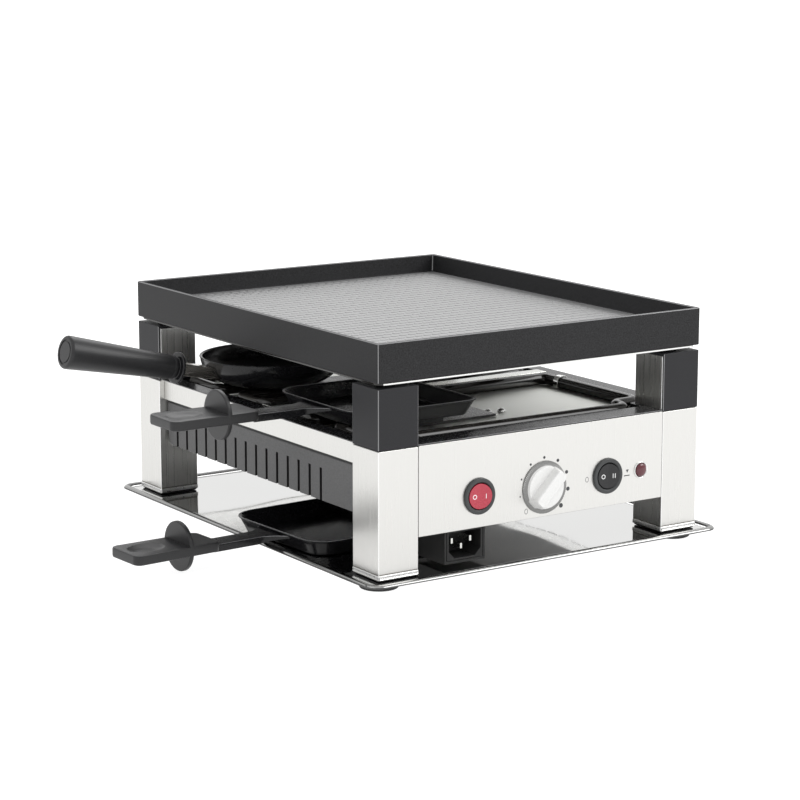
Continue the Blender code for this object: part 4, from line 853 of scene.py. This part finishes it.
# %% [markdown]
# The pilot lamp has a bright ring and a red dome. Light that enters the dome is what makes it
# look deep, so the dome is clear-coated and dark, and the ring round it is polished.

# %% Pilot lamp
ring_radius, lens_radius = half_width("pilot_ring"), half_width("pilot_lens")
lamp_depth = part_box("pilot_ring")[1].y - face_y
hole = lens_radius + 0.1 * MM
LAMP_BODY = 5.1 * MM
pilot_ring = turned(
    [(hole, -lamp_depth), (hole, 0.3 * MM)]
    + arc(ring_radius - 0.45 * MM, 0.4 * MM, 0.42 * MM, 150, 0, 8)
    + [(ring_radius, 0.0), (LAMP_BODY, 0.0), (LAMP_BODY, -lamp_depth), (hole, -lamp_depth)],
    steps=72,
)
lens = turned(
    [(0, -lamp_depth), (lens_radius, -lamp_depth), (lens_radius, 0.6 * MM)]
    + dome(lens_radius, 0.6 * MM, 1.5 * MM, (0.15, 0.4, 0.7, 1.0, 1.3)) + [(0, 2.1 * MM)],
    steps=72,
)
stand_in("pilot_ring", moved(pilot_ring, facing("pilot_ring")), sharp=50)
stand_in("pilot_lens", moved(lens, facing("pilot_ring")), sharp=50)

# %% [markdown]
# The dish of a raclette pan is pressed from sheet, with sloping walls and a rolled lip. Its far
# corners are tighter than the near ones. The rings give all four the same radius, and the
# points of the two far ones are then drawn out towards the corner.

# %% Dish of a raclette pan
PAN_LENGTH = 94.0 * MM
PAN_WIDTH = 103.0 * MM
PAN_HEIGHT = 10.7 * MM
PAN_CORNER = 18.0 * MM
FAR_CORNER = 8.0 * MM
PAN_SHEET = 1.2 * MM


def pan_dish():
    """Dish of a pan about its own middle, its foot at height zero."""
    outside = [
        (7.0 * MM, 0.0),
        (6.0 * MM, 0.25 * MM),
        (5.4 * MM, 1.0 * MM),
        (5.0 * MM, 2.0 * MM),
        (1.4 * MM, PAN_HEIGHT - 1.6 * MM),
        (0.9 * MM, PAN_HEIGHT - 0.9 * MM),
        (0.2 * MM, PAN_HEIGHT - 0.7 * MM),
        (0.0, PAN_HEIGHT - 0.4 * MM),
        (0.1 * MM, PAN_HEIGHT - 0.1 * MM),
        (0.4 * MM, PAN_HEIGHT),
    ]
    inside = [
        (1.6 * MM, PAN_HEIGHT - 0.1 * MM),
        (2.3 * MM, PAN_HEIGHT - 0.5 * MM),
        (2.7 * MM, PAN_HEIGHT - 1.3 * MM),
        (6.2 * MM, 3.0 * MM),
        (6.9 * MM, 1.8 * MM),
        (8.0 * MM, PAN_SHEET + 0.1 * MM),
        (9.5 * MM, PAN_SHEET),
    ]
    dish = loft(bmesh.new(), [
        (*row, 10) for row in shrunk(PAN_LENGTH, PAN_WIDTH, PAN_CORNER, outside + inside)
    ])
    for vert in dish.verts:
        out = Vector((vert.co.x - PAN_LENGTH / 2, abs(vert.co.y) - PAN_WIDTH / 2))
        out += Vector((PAN_CORNER, PAN_CORNER))
        if min(out) > -0.01 * MM and out.length > 0:
            saved = out.length * (1 - FAR_CORNER / PAN_CORNER)
            out = out * (FAR_CORNER / PAN_CORNER) + Vector((saved, saved))
            vert.co.x = PAN_LENGTH / 2 - PAN_CORNER + out.x
            vert.co.y = math.copysign(PAN_WIDTH / 2 - PAN_CORNER + out.y, vert.co.y)
    # the top of the rolled lip takes a painted highlight
    for face in dish.faces:
        if face.calc_center_median().z > PAN_HEIGHT - 0.08 * MM:
            face.material_index = 1
    return dish


# %% [markdown]
# The arm is a channel folded from the same sheet, and it flares where it meets the dish. It
# starts as a flat strip of grid. Its long edges are extruded downwards, the two folds are
# rounded, and the strip gets the thickness of the sheet at the end.

# %% Arm of a raclette pan
ARM_LENGTH = 47.3 * MM
ARM_WIDTH = 16.0 * MM
ARM_DEPTH = 5.0 * MM
ARM_TAPER = 3.4 * MM
FOLD = 1.0 * MM
FLARE = 1.3
FLARE_LENGTH = 17.0 * MM


def pan_arm():
    """Channel from the dish to the grip, closed above and open below."""
    bm = bmesh.new()
    length = ARM_LENGTH + 3.0 * MM

    def near_dish(vert):
        return max(0, 1 - (length / 2 - vert.co.x) / FLARE_LENGTH)

    bmesh.ops.create_grid(bm, x_segments=20, y_segments=1, size=0.5)
    bmesh.ops.scale(bm, vec=(length, ARM_WIDTH, 1), verts=bm.verts)
    for vert in bm.verts:
        vert.co.y *= 1 + FLARE * near_dish(vert) ** 2
    sides = [
        edge for edge in bm.edges
        if edge.is_boundary and abs(edge.verts[0].co.x - edge.verts[1].co.x) > 0.1 * MM
    ]
    for vert in new_verts(bmesh.ops.extrude_edge_only(bm, edges=sides)):
        vert.co.z -= ARM_DEPTH - ARM_TAPER * near_dish(vert)
    bmesh.ops.recalc_face_normals(bm, faces=bm.faces)
    # the middle of each rounded fold takes a painted highlight
    for face in round_off(bm, [edge for edge in bm.edges if is_fold(edge, 1)], FOLD, 3):
        face.normal_update()
        if 0.5 < abs(face.normal.z) < 0.85:
            face.material_index = 1
    bmesh.ops.recalc_face_normals(bm, faces=bm.faces)
    if max(bm.faces, key=lambda face: face.calc_area()).normal.z < 0:
        bmesh.ops.reverse_faces(bm, faces=bm.faces)
    bmesh.ops.solidify(bm, geom=bm.faces[:], thickness=PAN_SHEET)
    x = -PAN_LENGTH / 2 - ARM_LENGTH / 2 + 0.8 * MM
    return moved(bm, shift(x, 0, PAN_HEIGHT - 1.6 * MM))


# %% [markdown]
# The grip is moulded: a flat slab with an oval thumb dish, and a round guard that keeps the
# fingers off the hot metal. The slab narrows a little towards the arm. The thumb dish is a
# circle joined to the slab's top edge and sunk in four steps.

# %% Grip of a raclette pan
GRIP_LENGTH = 62.5 * MM
GRIP_WIDTH = 33.5 * MM
GRIP_THICKNESS = 6.5 * MM
NECK_SHARE = 0.925
THUMB_PLACE = 0.24
GUARD_PLACE = 0.15


def pan_grip():
    """Slab with a thumb dish, and the guard disc through it."""
    half = GRIP_THICKNESS / 2
    slab = loft(bmesh.new(), [
        (*row, 6) for row in shrunk(GRIP_LENGTH, GRIP_WIDTH, 5.0 * MM, [
            (1.2 * MM, -half), (0.35 * MM, -half + 0.35 * MM), (0.0, -half + 1.2 * MM),
            (0.0, half - 1.2 * MM), (0.35 * MM, half - 0.35 * MM), (1.2 * MM, half),
        ])
    ])
    for vert in slab.verts:
        if vert.co.x > 0:
            vert.co.y *= NECK_SHARE
    top = max(slab.faces, key=lambda face: face.calc_center_median().z)
    bmesh.ops.delete(slab, geom=[top], context="FACES_ONLY")
    opening = [edge for edge in slab.edges if len(edge.link_faces) == 1]
    made = bmesh.ops.create_circle(slab, cap_ends=False, segments=28, radius=1)
    dish = made["verts"]
    bmesh.ops.scale(slab, vec=(13.0 * MM, 10.0 * MM, 1), verts=dish)
    bmesh.ops.translate(slab, vec=(-GRIP_LENGTH * THUMB_PLACE, 0, half + APART), verts=dish)
    rim = list({edge for vert in dish for edge in vert.link_edges})
    bmesh.ops.bridge_loops(slab, edges=opening + rim)
    bmesh.ops.translate(slab, vec=(0, 0, -APART), verts=dish)
    bowl = bmesh.ops.contextual_create(slab, geom=rim)["faces"]
    for inset, sink in ((1.2, 0.35), (1.6, 0.7), (2.2, 0.6), (2.6, 0.3)):
        bmesh.ops.inset_individual(
            slab, faces=bowl, thickness=inset * MM, depth=0, use_even_offset=True
        )
        bmesh.ops.translate(slab, vec=(0, 0, -sink * MM), verts=bowl[0].verts)
    bmesh.ops.recalc_face_normals(slab, faces=slab.faces)
    guard = turned(
        [(0, -1.5 * MM)] + arc(15.2 * MM, -0.7 * MM, 0.8 * MM, -90, 0, 4)
        + arc(15.2 * MM, 0.7 * MM, 0.8 * MM, 0, 90, 4) + [(0, 1.5 * MM)], steps=72,
    )
    upright = Matrix.Rotation(math.pi / 2, 4, "Y")
    moved(guard, shift(GRIP_LENGTH * GUARD_PLACE, 0, 0.5 * MM) @ upright)
    x = -PAN_LENGTH / 2 - ARM_LENGTH - GRIP_LENGTH / 2
    z = PAN_HEIGHT + 2.0 * MM - half
    return moved(merged(slab, guard), shift(x, 0, z))


# %% [markdown]
# Both pans are the same, so one set of parts serves twice. The parked pan stands on the tray
# turned by three degrees, and its place follows from the far side of its node's box.

# %% Place both pans
PAN_TURNS = {"upper_pan": 0.0, "lower_pan": math.radians(3)}
for pan_name, turn in PAN_TURNS.items():
    pan_low, pan_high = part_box(pan_name)
    corner = PAN_CORNER * (math.cos(turn) + math.sin(turn) - 1)
    reach = (PAN_LENGTH / 2) * math.cos(turn) + (PAN_WIDTH / 2) * math.sin(turn) - corner
    grip_y = middle(pan_name + "_handle").y
    grip_reach = PAN_LENGTH / 2 + ARM_LENGTH + GRIP_LENGTH / 2
    pan_y = grip_y + grip_reach * math.sin(turn)
    place = shift(pan_high.x - reach, pan_y, pan_low.z) @ Matrix.Rotation(turn, 4, "Z")
    pan = moved(merged(pan_dish(), pan_arm()), place)
    stand_in(pan_name, pan, more=["painted_edge_highlight"], sharp=50)
    stand_in(pan_name + "_handle", moved(pan_grip(), place), sharp=45)

# %% [markdown]
# The wok is spun from sheet, so its bowl is a turned shell with a small rolled rim. The
# handle is turned too, on an axis that leans up and away from the bowl, with a collar where
# it meets the steel bracket and a recessed cap ring at its end.

# %% Wok, collar and handle
wok_low, wok_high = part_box("wok_bowl")
WOK_RADIUS = half_width("wok_bowl")
WOK_HEIGHT = wok_high.z - wok_low.z
WOK_BASE = 26.0 * MM
WOK_SHEET = 1.4 * MM
outside = [
    (WOK_BASE + (WOK_RADIUS - 0.5 * MM - WOK_BASE) * math.sin(math.radians(turn)),
     (WOK_HEIGHT - 0.5 * MM) * (1 - math.cos(math.radians(turn))))
    for turn in range(0, 91, 9)
]
inside = [
    (radius - WOK_SHEET, max(height, WOK_SHEET)) if number else (radius, WOK_SHEET)
    for number, (radius, height) in enumerate(outside)
]
rim = arc(WOK_RADIUS - 0.5 * MM, WOK_HEIGHT - 0.5 * MM, 0.5 * MM, 0, 180, 6)
bowl = turned([(0, 0)] + outside + rim + inside[::-1] + [(0, WOK_SHEET)], steps=96)
bowl_place = over("wok_bowl", wok_low.z)
stand_in("wok_bowl", moved(bowl, bowl_place), sharp=50)

WOK_REACH = 72.0 * MM
HANDLE_RISE = 16.5 * MM
HANDLE_TILT = math.radians(13)
lean = (
    bowl_place @ shift(-WOK_REACH, 0, HANDLE_RISE)
    @ Matrix.Rotation(HANDLE_TILT - math.pi / 2, 4, "Y")
)
collar = turned(
    [(0, 0)] + arc(9.9 * MM, 0.9 * MM, 0.9 * MM, -90, 0, 4)
    + arc(9.9 * MM, 1.5 * MM, 0.9 * MM, 0, 90, 4)
    + [(7.3 * MM, 2.4 * MM), (7.0 * MM, 2.7 * MM), (7.0 * MM, 4.0 * MM), (0, 4.0 * MM)]
)
stand_in("wok_collar", moved(collar, lean), paint="black_coating", sharp=40)
HANDLE_START = 4.3 * MM
HANDLE_END = HANDLE_START + 81.0 * MM
handle = turned(
    [(0, HANDLE_START)] + arc(7.5 * MM, HANDLE_START + 0.5 * MM, 0.5 * MM, -90, 0, 3)
    + [(8.0 * MM, HANDLE_START + 1.6 * MM), (7.8 * MM, HANDLE_START + 1.8 * MM)]
    + [(7.8 * MM, HANDLE_START + 2.2 * MM), (8.1 * MM, HANDLE_START + 2.5 * MM)]
    + [(10.9 * MM, HANDLE_END - 6.0 * MM), (11.0 * MM, HANDLE_END - 4.0 * MM)]
    + arc(9.2 * MM, HANDLE_END - 1.8 * MM, 1.8 * MM, 0, 90, 6)
    + [(8.2 * MM, HANDLE_END), (8.0 * MM, HANDLE_END - 0.6 * MM)]
    + [(7.0 * MM, HANDLE_END - 0.6 * MM), (6.8 * MM, HANDLE_END - 0.1 * MM)]
    + [(0, HANDLE_END - 0.1 * MM)]
)
stand_in("wok_handle", moved(handle, lean), sharp=40)

# %% [markdown]
# A heating tube is bent from one straight length. Here a circle is pushed along the route:
# it is extruded down each straight run and spun through a quarter turn at each bend, so the
# section stays round all the way.

# %% A helper for bent tubes


def pipe(points, radius, bend, sides=16):
    """A tube through right-angled corners, each rounded by a quarter turn."""
    points = [Vector(point) for point in points]
    bm = bmesh.new()
    ahead = (points[1] - points[0]).normalized()
    matrix = Matrix.Translation(points[0]) @ ahead.to_track_quat("Z", "Y").to_matrix().to_4x4()
    bmesh.ops.create_circle(bm, cap_ends=True, segments=sides, radius=radius, matrix=matrix)
    loop = list(bm.edges)
    for number in range(1, len(points)):
        run = points[number] - points[number - 1]
        trim = bend * ((number > 1) + (number < len(points) - 1))
        made = bmesh.ops.extrude_edge_only(bm, edges=loop)
        verts = new_verts(made)
        loop = [
            item for item in made["geom"]
            if isinstance(item, bmesh.types.BMEdge) and all(vert in verts for vert in item.verts)
        ]
        bmesh.ops.translate(bm, vec=run.normalized() * (run.length - trim), verts=verts)
        if number < len(points) - 1:
            along = run.normalized()
            onward = (points[number + 1] - points[number]).normalized()
            centre = points[number] + (onward - along) * bend
            made = bmesh.ops.spin(
                bm, geom=loop, cent=centre, axis=along.cross(onward), angle=math.pi / 2, steps=8
            )["geom_last"]
            loop = [item for item in made if isinstance(item, bmesh.types.BMEdge)]
    bmesh.ops.contextual_create(bm, geom=loop)
    bmesh.ops.remove_doubles(bm, verts=bm.verts, dist=0.002 * MM)
    bmesh.ops.recalc_face_normals(bm, faces=bm.faces)
    return bm


# %% [markdown]
# Each recess of the deck has its own tube, which follows the outline where it steps in round
# the legs. The two ends come into a terminal box. The upper tube winds under the griddle.

# %% Heating tubes
centre = middle("grill_plate")
LOWER_TUBE = 3.95 * MM
LOWER_BEND = 6.0 * MM
STEP_X = 19.6 * MM
STEP_Y = 13.6 * MM
END_SHARE = 0.217
for place_name, sign in (("front", -1), ("rear", 1)):
    tube_name = place_name + "_lower_element"
    tube_low, tube_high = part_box(tube_name)
    right, left = tube_high.x - LOWER_TUBE, tube_low.x + LOWER_TUBE
    far = (tube_low.y if sign < 0 else tube_high.y) - sign * LOWER_TUBE
    near = (tube_high.y if sign < 0 else tube_low.y) + sign * LOWER_TUBE
    height = (tube_low.z + tube_high.z) / 2
    box_low, box_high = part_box(place_name + "_terminal_box")
    box_far, box_near = (box_low.y, box_high.y) if sign < 0 else (box_high.y, box_low.y)
    share = (box_near - box_far) * END_SHARE
    box_x, step = box_low.x - 0.3 * MM, far - sign * STEP_Y
    route = [
        (box_x, box_far + share), (left, box_far + share), (left, step),
        (left + STEP_X, step), (left + STEP_X, far), (right - STEP_X, far),
        (right - STEP_X, step), (right, step), (right, near),
        (left, near), (left, box_near - share), (box_x, box_near - share),
    ]
    tube = pipe([(x, y, height) for x, y in route], LOWER_TUBE, LOWER_BEND)
    stand_in(tube_name, tube)

UPPER_TUBE = 3.25 * MM
UPPER_BEND = 18.4 * MM
HALF_INNER = 14.0 * MM
HALF_TURN = 51.0 * MM
TURN_INSET = 19.0 * MM
tube_low, tube_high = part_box("upper_element")
height = (tube_low.z + tube_high.z) / 2
reach = half_width("upper_element") - UPPER_TUBE
turn_y, near = tube_high.y - TURN_INSET, tube_low.y + UPPER_TUBE
half_route = [
    (HALF_INNER, tube_low.y + 0.6 * MM), (HALF_INNER, turn_y), (HALF_TURN, turn_y),
    (HALF_TURN, near), (reach, near), (reach, tube_high.y - UPPER_TUBE),
]
route = [(centre.x - x, y, height) for x, y in half_route]
route += [(centre.x + x, y, height) for x, y in reversed(half_route)]
stand_in("upper_element", pipe(route, UPPER_TUBE, UPPER_BEND))

# %% [markdown]
# Printed and moulded marks are real shapes here, a few hundredths of a millimetre thick, so
# that they keep their edges at any size: dots that grow round the dial, a zero where it is
# off, and the arrow over a line beside the lamp.

# %% Marks on the panel
PRINT = 0.04 * MM
DOT_REACH = 19.2 * MM
ZERO_REACH = 19.8 * MM
ZERO_ANGLE = 225
SIGN_PLACE = 4.0 * MM


def disc(radius):
    """A flat round mark."""
    return turned([(0, 0), (radius, 0), (radius, PRINT), (0, PRINT)], steps=24)


def hoop(radius, width):
    """A flat ring-shaped mark."""
    inner = radius - width
    return turned(
        [(inner, 0), (radius, 0), (radius, PRINT), (inner, PRINT), (inner, 0)], steps=32
    )


def bar(length, width):
    """A flat straight mark along Y."""
    return loft(bmesh.new(), [(width, length, 0.05 * MM, level, 2) for level in (0, PRINT)])


def zero():
    """An upright zero."""
    return moved(hoop(1.5 * MM, 0.3 * MM), Matrix.Diagonal((0.85, 1.2, 1, 1)))


def round_dial(angle, reach):
    """Matrix that moves a mark from the dial's middle outwards, at an angle in degrees."""
    turn = math.radians(angle)
    return shift(reach * math.cos(turn), reach * math.sin(turn), 0)


dial_marks = [moved(disc(radius * MM), round_dial(angle, DOT_REACH)) for angle, radius in (
    (191.6, 0.5), (158, 0.65), (124, 0.8), (90.4, 0.92),
    (56.5, 1.08), (23.4, 1.2), (-10.4, 1.36), (-45.4, 1.5),
)]
dial_marks.append(moved(zero(), round_dial(ZERO_ANGLE, ZERO_REACH)))
arrow = bmesh.new()
bmesh.ops.create_circle(arrow, cap_ends=True, segments=3, radius=1.4 * MM)
made = bmesh.ops.extrude_face_region(arrow, geom=list(arrow.faces))
bmesh.ops.translate(arrow, vec=(0, 0, PRINT), verts=new_verts(made))
bmesh.ops.recalc_face_normals(arrow, faces=arrow.faces)
moved(arrow, shift(0.4 * MM, 1.6 * MM, 0) @ Matrix.Rotation(math.pi, 4, "Z"))
level = Matrix.Rotation(math.pi / 2, 4, "Z")
line = moved(bar(4.6 * MM, 0.65 * MM), shift(0, -1.6 * MM, 0) @ level)
for name, mark, place in (
    ("dial_marks", merged(*dial_marks), facing("thermostat_knob")),
    ("lower_heat_off_mark", zero(), on_panel(centre.x + 34.1 * MM, 50.7 * MM)),
    ("heat_lamp_mark", merged(arrow, line), on_panel(centre.x + 66.6 * MM, 50.9 * MM)),
):
    add_piece(name, moved(mark, place), "front_panel", paint="printed_mark")

# %% [markdown]
# The signs on the rockers ride with them. Each one lies on the slope of its own half of the
# face: a zero where the switch is off, and one or two bars where it is on.

# %% Signs on the rockers
slope = math.atan(ROCKER_DISH / ROCKER_RADIUS)
left = shift(-SIGN_PLACE, 0, 0) @ Matrix.Rotation(slope, 4, "Y")
right = shift(SIGN_PLACE, 0, 0) @ Matrix.Rotation(-slope, 4, "Y")
sign_height = ROCKER_HEIGHT - ROCKER_DISH * (1 - SIGN_PLACE / ROCKER_RADIUS)
for switch, right_marks in (("main", (0.0,)), ("lower_heat", (-0.75, 0.75))):
    signs = [moved(hoop(1.5 * MM, 0.42 * MM), left)]
    for aside in right_marks:
        signs.append(moved(bar(3.0 * MM, 0.38 * MM), right @ shift(aside * MM, 0, 0)))
    place = rocker_places[switch] @ shift(0, 0, sign_height)
    add_piece(
        switch + "_rocker_marks", moved(merged(*signs), place), switch + "_rocker",
        paint="moulded_mark",
    )

# %% [markdown]
# The inlet's three blades are bright nickel in a dark socket. The screws are domed heads with
# a washer face, and both catch small highlights that read as metal even from far away.

# %% Blades and screws
BLADE_LENGTH = 12.8 * MM
BLADE_DEPTH = 17.0 * MM
SCREW_GROWTH = 0.4 * MM
WASHER = 0.35 * MM
inlet_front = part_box("power_inlet")[0].y
inlet_middle = middle("power_inlet")
blades = []
for x, z in ((-7.0, 2.0), (7.0, 2.0), (0.0, -2.0)):
    blade = loft(bmesh.new(), [
        (2.2 * MM, 4.2 * MM, 0.3 * MM, 0, 3),
        (2.2 * MM, 4.2 * MM, 0.3 * MM, BLADE_LENGTH - 0.6 * MM, 3),
        (1.4 * MM, 3.4 * MM, 0.2 * MM, BLADE_LENGTH, 3),
    ])
    spot = shift(inlet_middle.x + x * MM, inlet_front + BLADE_DEPTH, inlet_middle.z + z * MM)
    blades.append(moved(blade, spot @ Matrix.Rotation(math.pi / 2, 4, "X")))
add_piece("inlet_blades", merged(*blades), "pilot_ring", paint="satin_steel", sharp=45)
for screw_name in ("deck_screw_1", "deck_screw_2"):
    screw_low, screw_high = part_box(screw_name)
    radius = half_width(screw_name) + SCREW_GROWTH
    height = screw_high.z - screw_low.z + SCREW_GROWTH
    screw = turned(
        [(0, 0), (radius, 0), (radius, 0.25 * MM), (radius * 0.86, WASHER)]
        + dome(radius * 0.84, WASHER, height - WASHER, (0.3, 0.6, 0.9, 1.2, 1.4))
        + [(0, height)], steps=40,
    )
    stand_in(screw_name, moved(screw, over(screw_name, screw_low.z)), sharp=50)

# %% [markdown]
# The floor of a studio is a wide pale sheet, lit so strongly that it glows white and keeps
# only the faintest shadow. A large soft light stands in front on the right, so the front
# faces are the brightest, and a weak one fills from the left. A third one, high behind, gives
# the dark tops a sheen. The sky round them is white, which is what polished steel needs. The
# camera stands where the photographer did.

# %% Floor, light and camera
CAMERA_PLACE = Vector((-0.8653, -1.3679, 0.4081))
CAMERA_TURN = math.radians(33.65)
CAMERA_DIP = math.radians(11.23)
CAMERA_LENS = 111.2
CAMERA_FILM = 36
FLOOR_REACH = 40.0
FLOOR_GLOW = 0.92

bm = bmesh.new()
bmesh.ops.create_grid(bm, x_segments=1, y_segments=1, size=FLOOR_REACH)
floor_mesh = bpy.data.meshes.new("studio_floor")
bm.to_mesh(floor_mesh)
bm.free()
studio_floor = bpy.data.objects.new("studio_floor", floor_mesh)
bpy.context.scene.collection.objects.link(studio_floor)
paper = finish("pale_paper", (0.30, 0.30, 0.30), roughness=0.9)
shader_inputs(paper)["Emission Color"].default_value = (1, 1, 1, 1)
shader_inputs(paper)["Emission Strength"].default_value = FLOOR_GLOW
floor_mesh.materials.append(paper)

world = bpy.data.worlds.new("studio")
bpy.context.scene.world = world
world.use_nodes = True
sky = world.node_tree.nodes["Background"].inputs
sky["Color"].default_value = (1, 1, 1, 1)
sky["Strength"].default_value = 1.0


def add_light(name, place, target, size, power):
    """A square soft light that looks at a point."""
    data = bpy.data.lights.new(name, "AREA")
    data.size = size
    data.energy = power
    lamp = bpy.data.objects.new(name, data)
    lamp.location = place
    lamp.rotation_euler = (Vector(target) - Vector(place)).to_track_quat("-Z", "Y").to_euler()
    bpy.context.scene.collection.objects.link(lamp)


add_light("key_light", (1.3, -1.2, 1.3), (0, 0, 0.05), 1.2, 20)
add_light("fill_light", (-1.4, -0.4, 1.5), (0, 0, 0.05), 1.2, 3)
add_light("back_light", (0.9, 1.4, 1.8), (0, 0, 0.1), 1.6, 16)

camera_data = bpy.data.cameras.new("camera")
camera_data.lens = CAMERA_LENS
camera_data.sensor_width = CAMERA_FILM
camera = bpy.data.objects.new("camera", camera_data)
camera.location = CAMERA_PLACE
look = Vector((
    math.sin(CAMERA_TURN) * math.cos(CAMERA_DIP),
    math.cos(CAMERA_TURN) * math.cos(CAMERA_DIP),
    -math.sin(CAMERA_DIP),
))
camera.rotation_euler = look.to_track_quat("-Z", "Y").to_euler()
bpy.context.scene.collection.objects.link(camera)
bpy.context.scene.camera = camera
bpy.context.scene.view_settings.view_transform = "Standard"
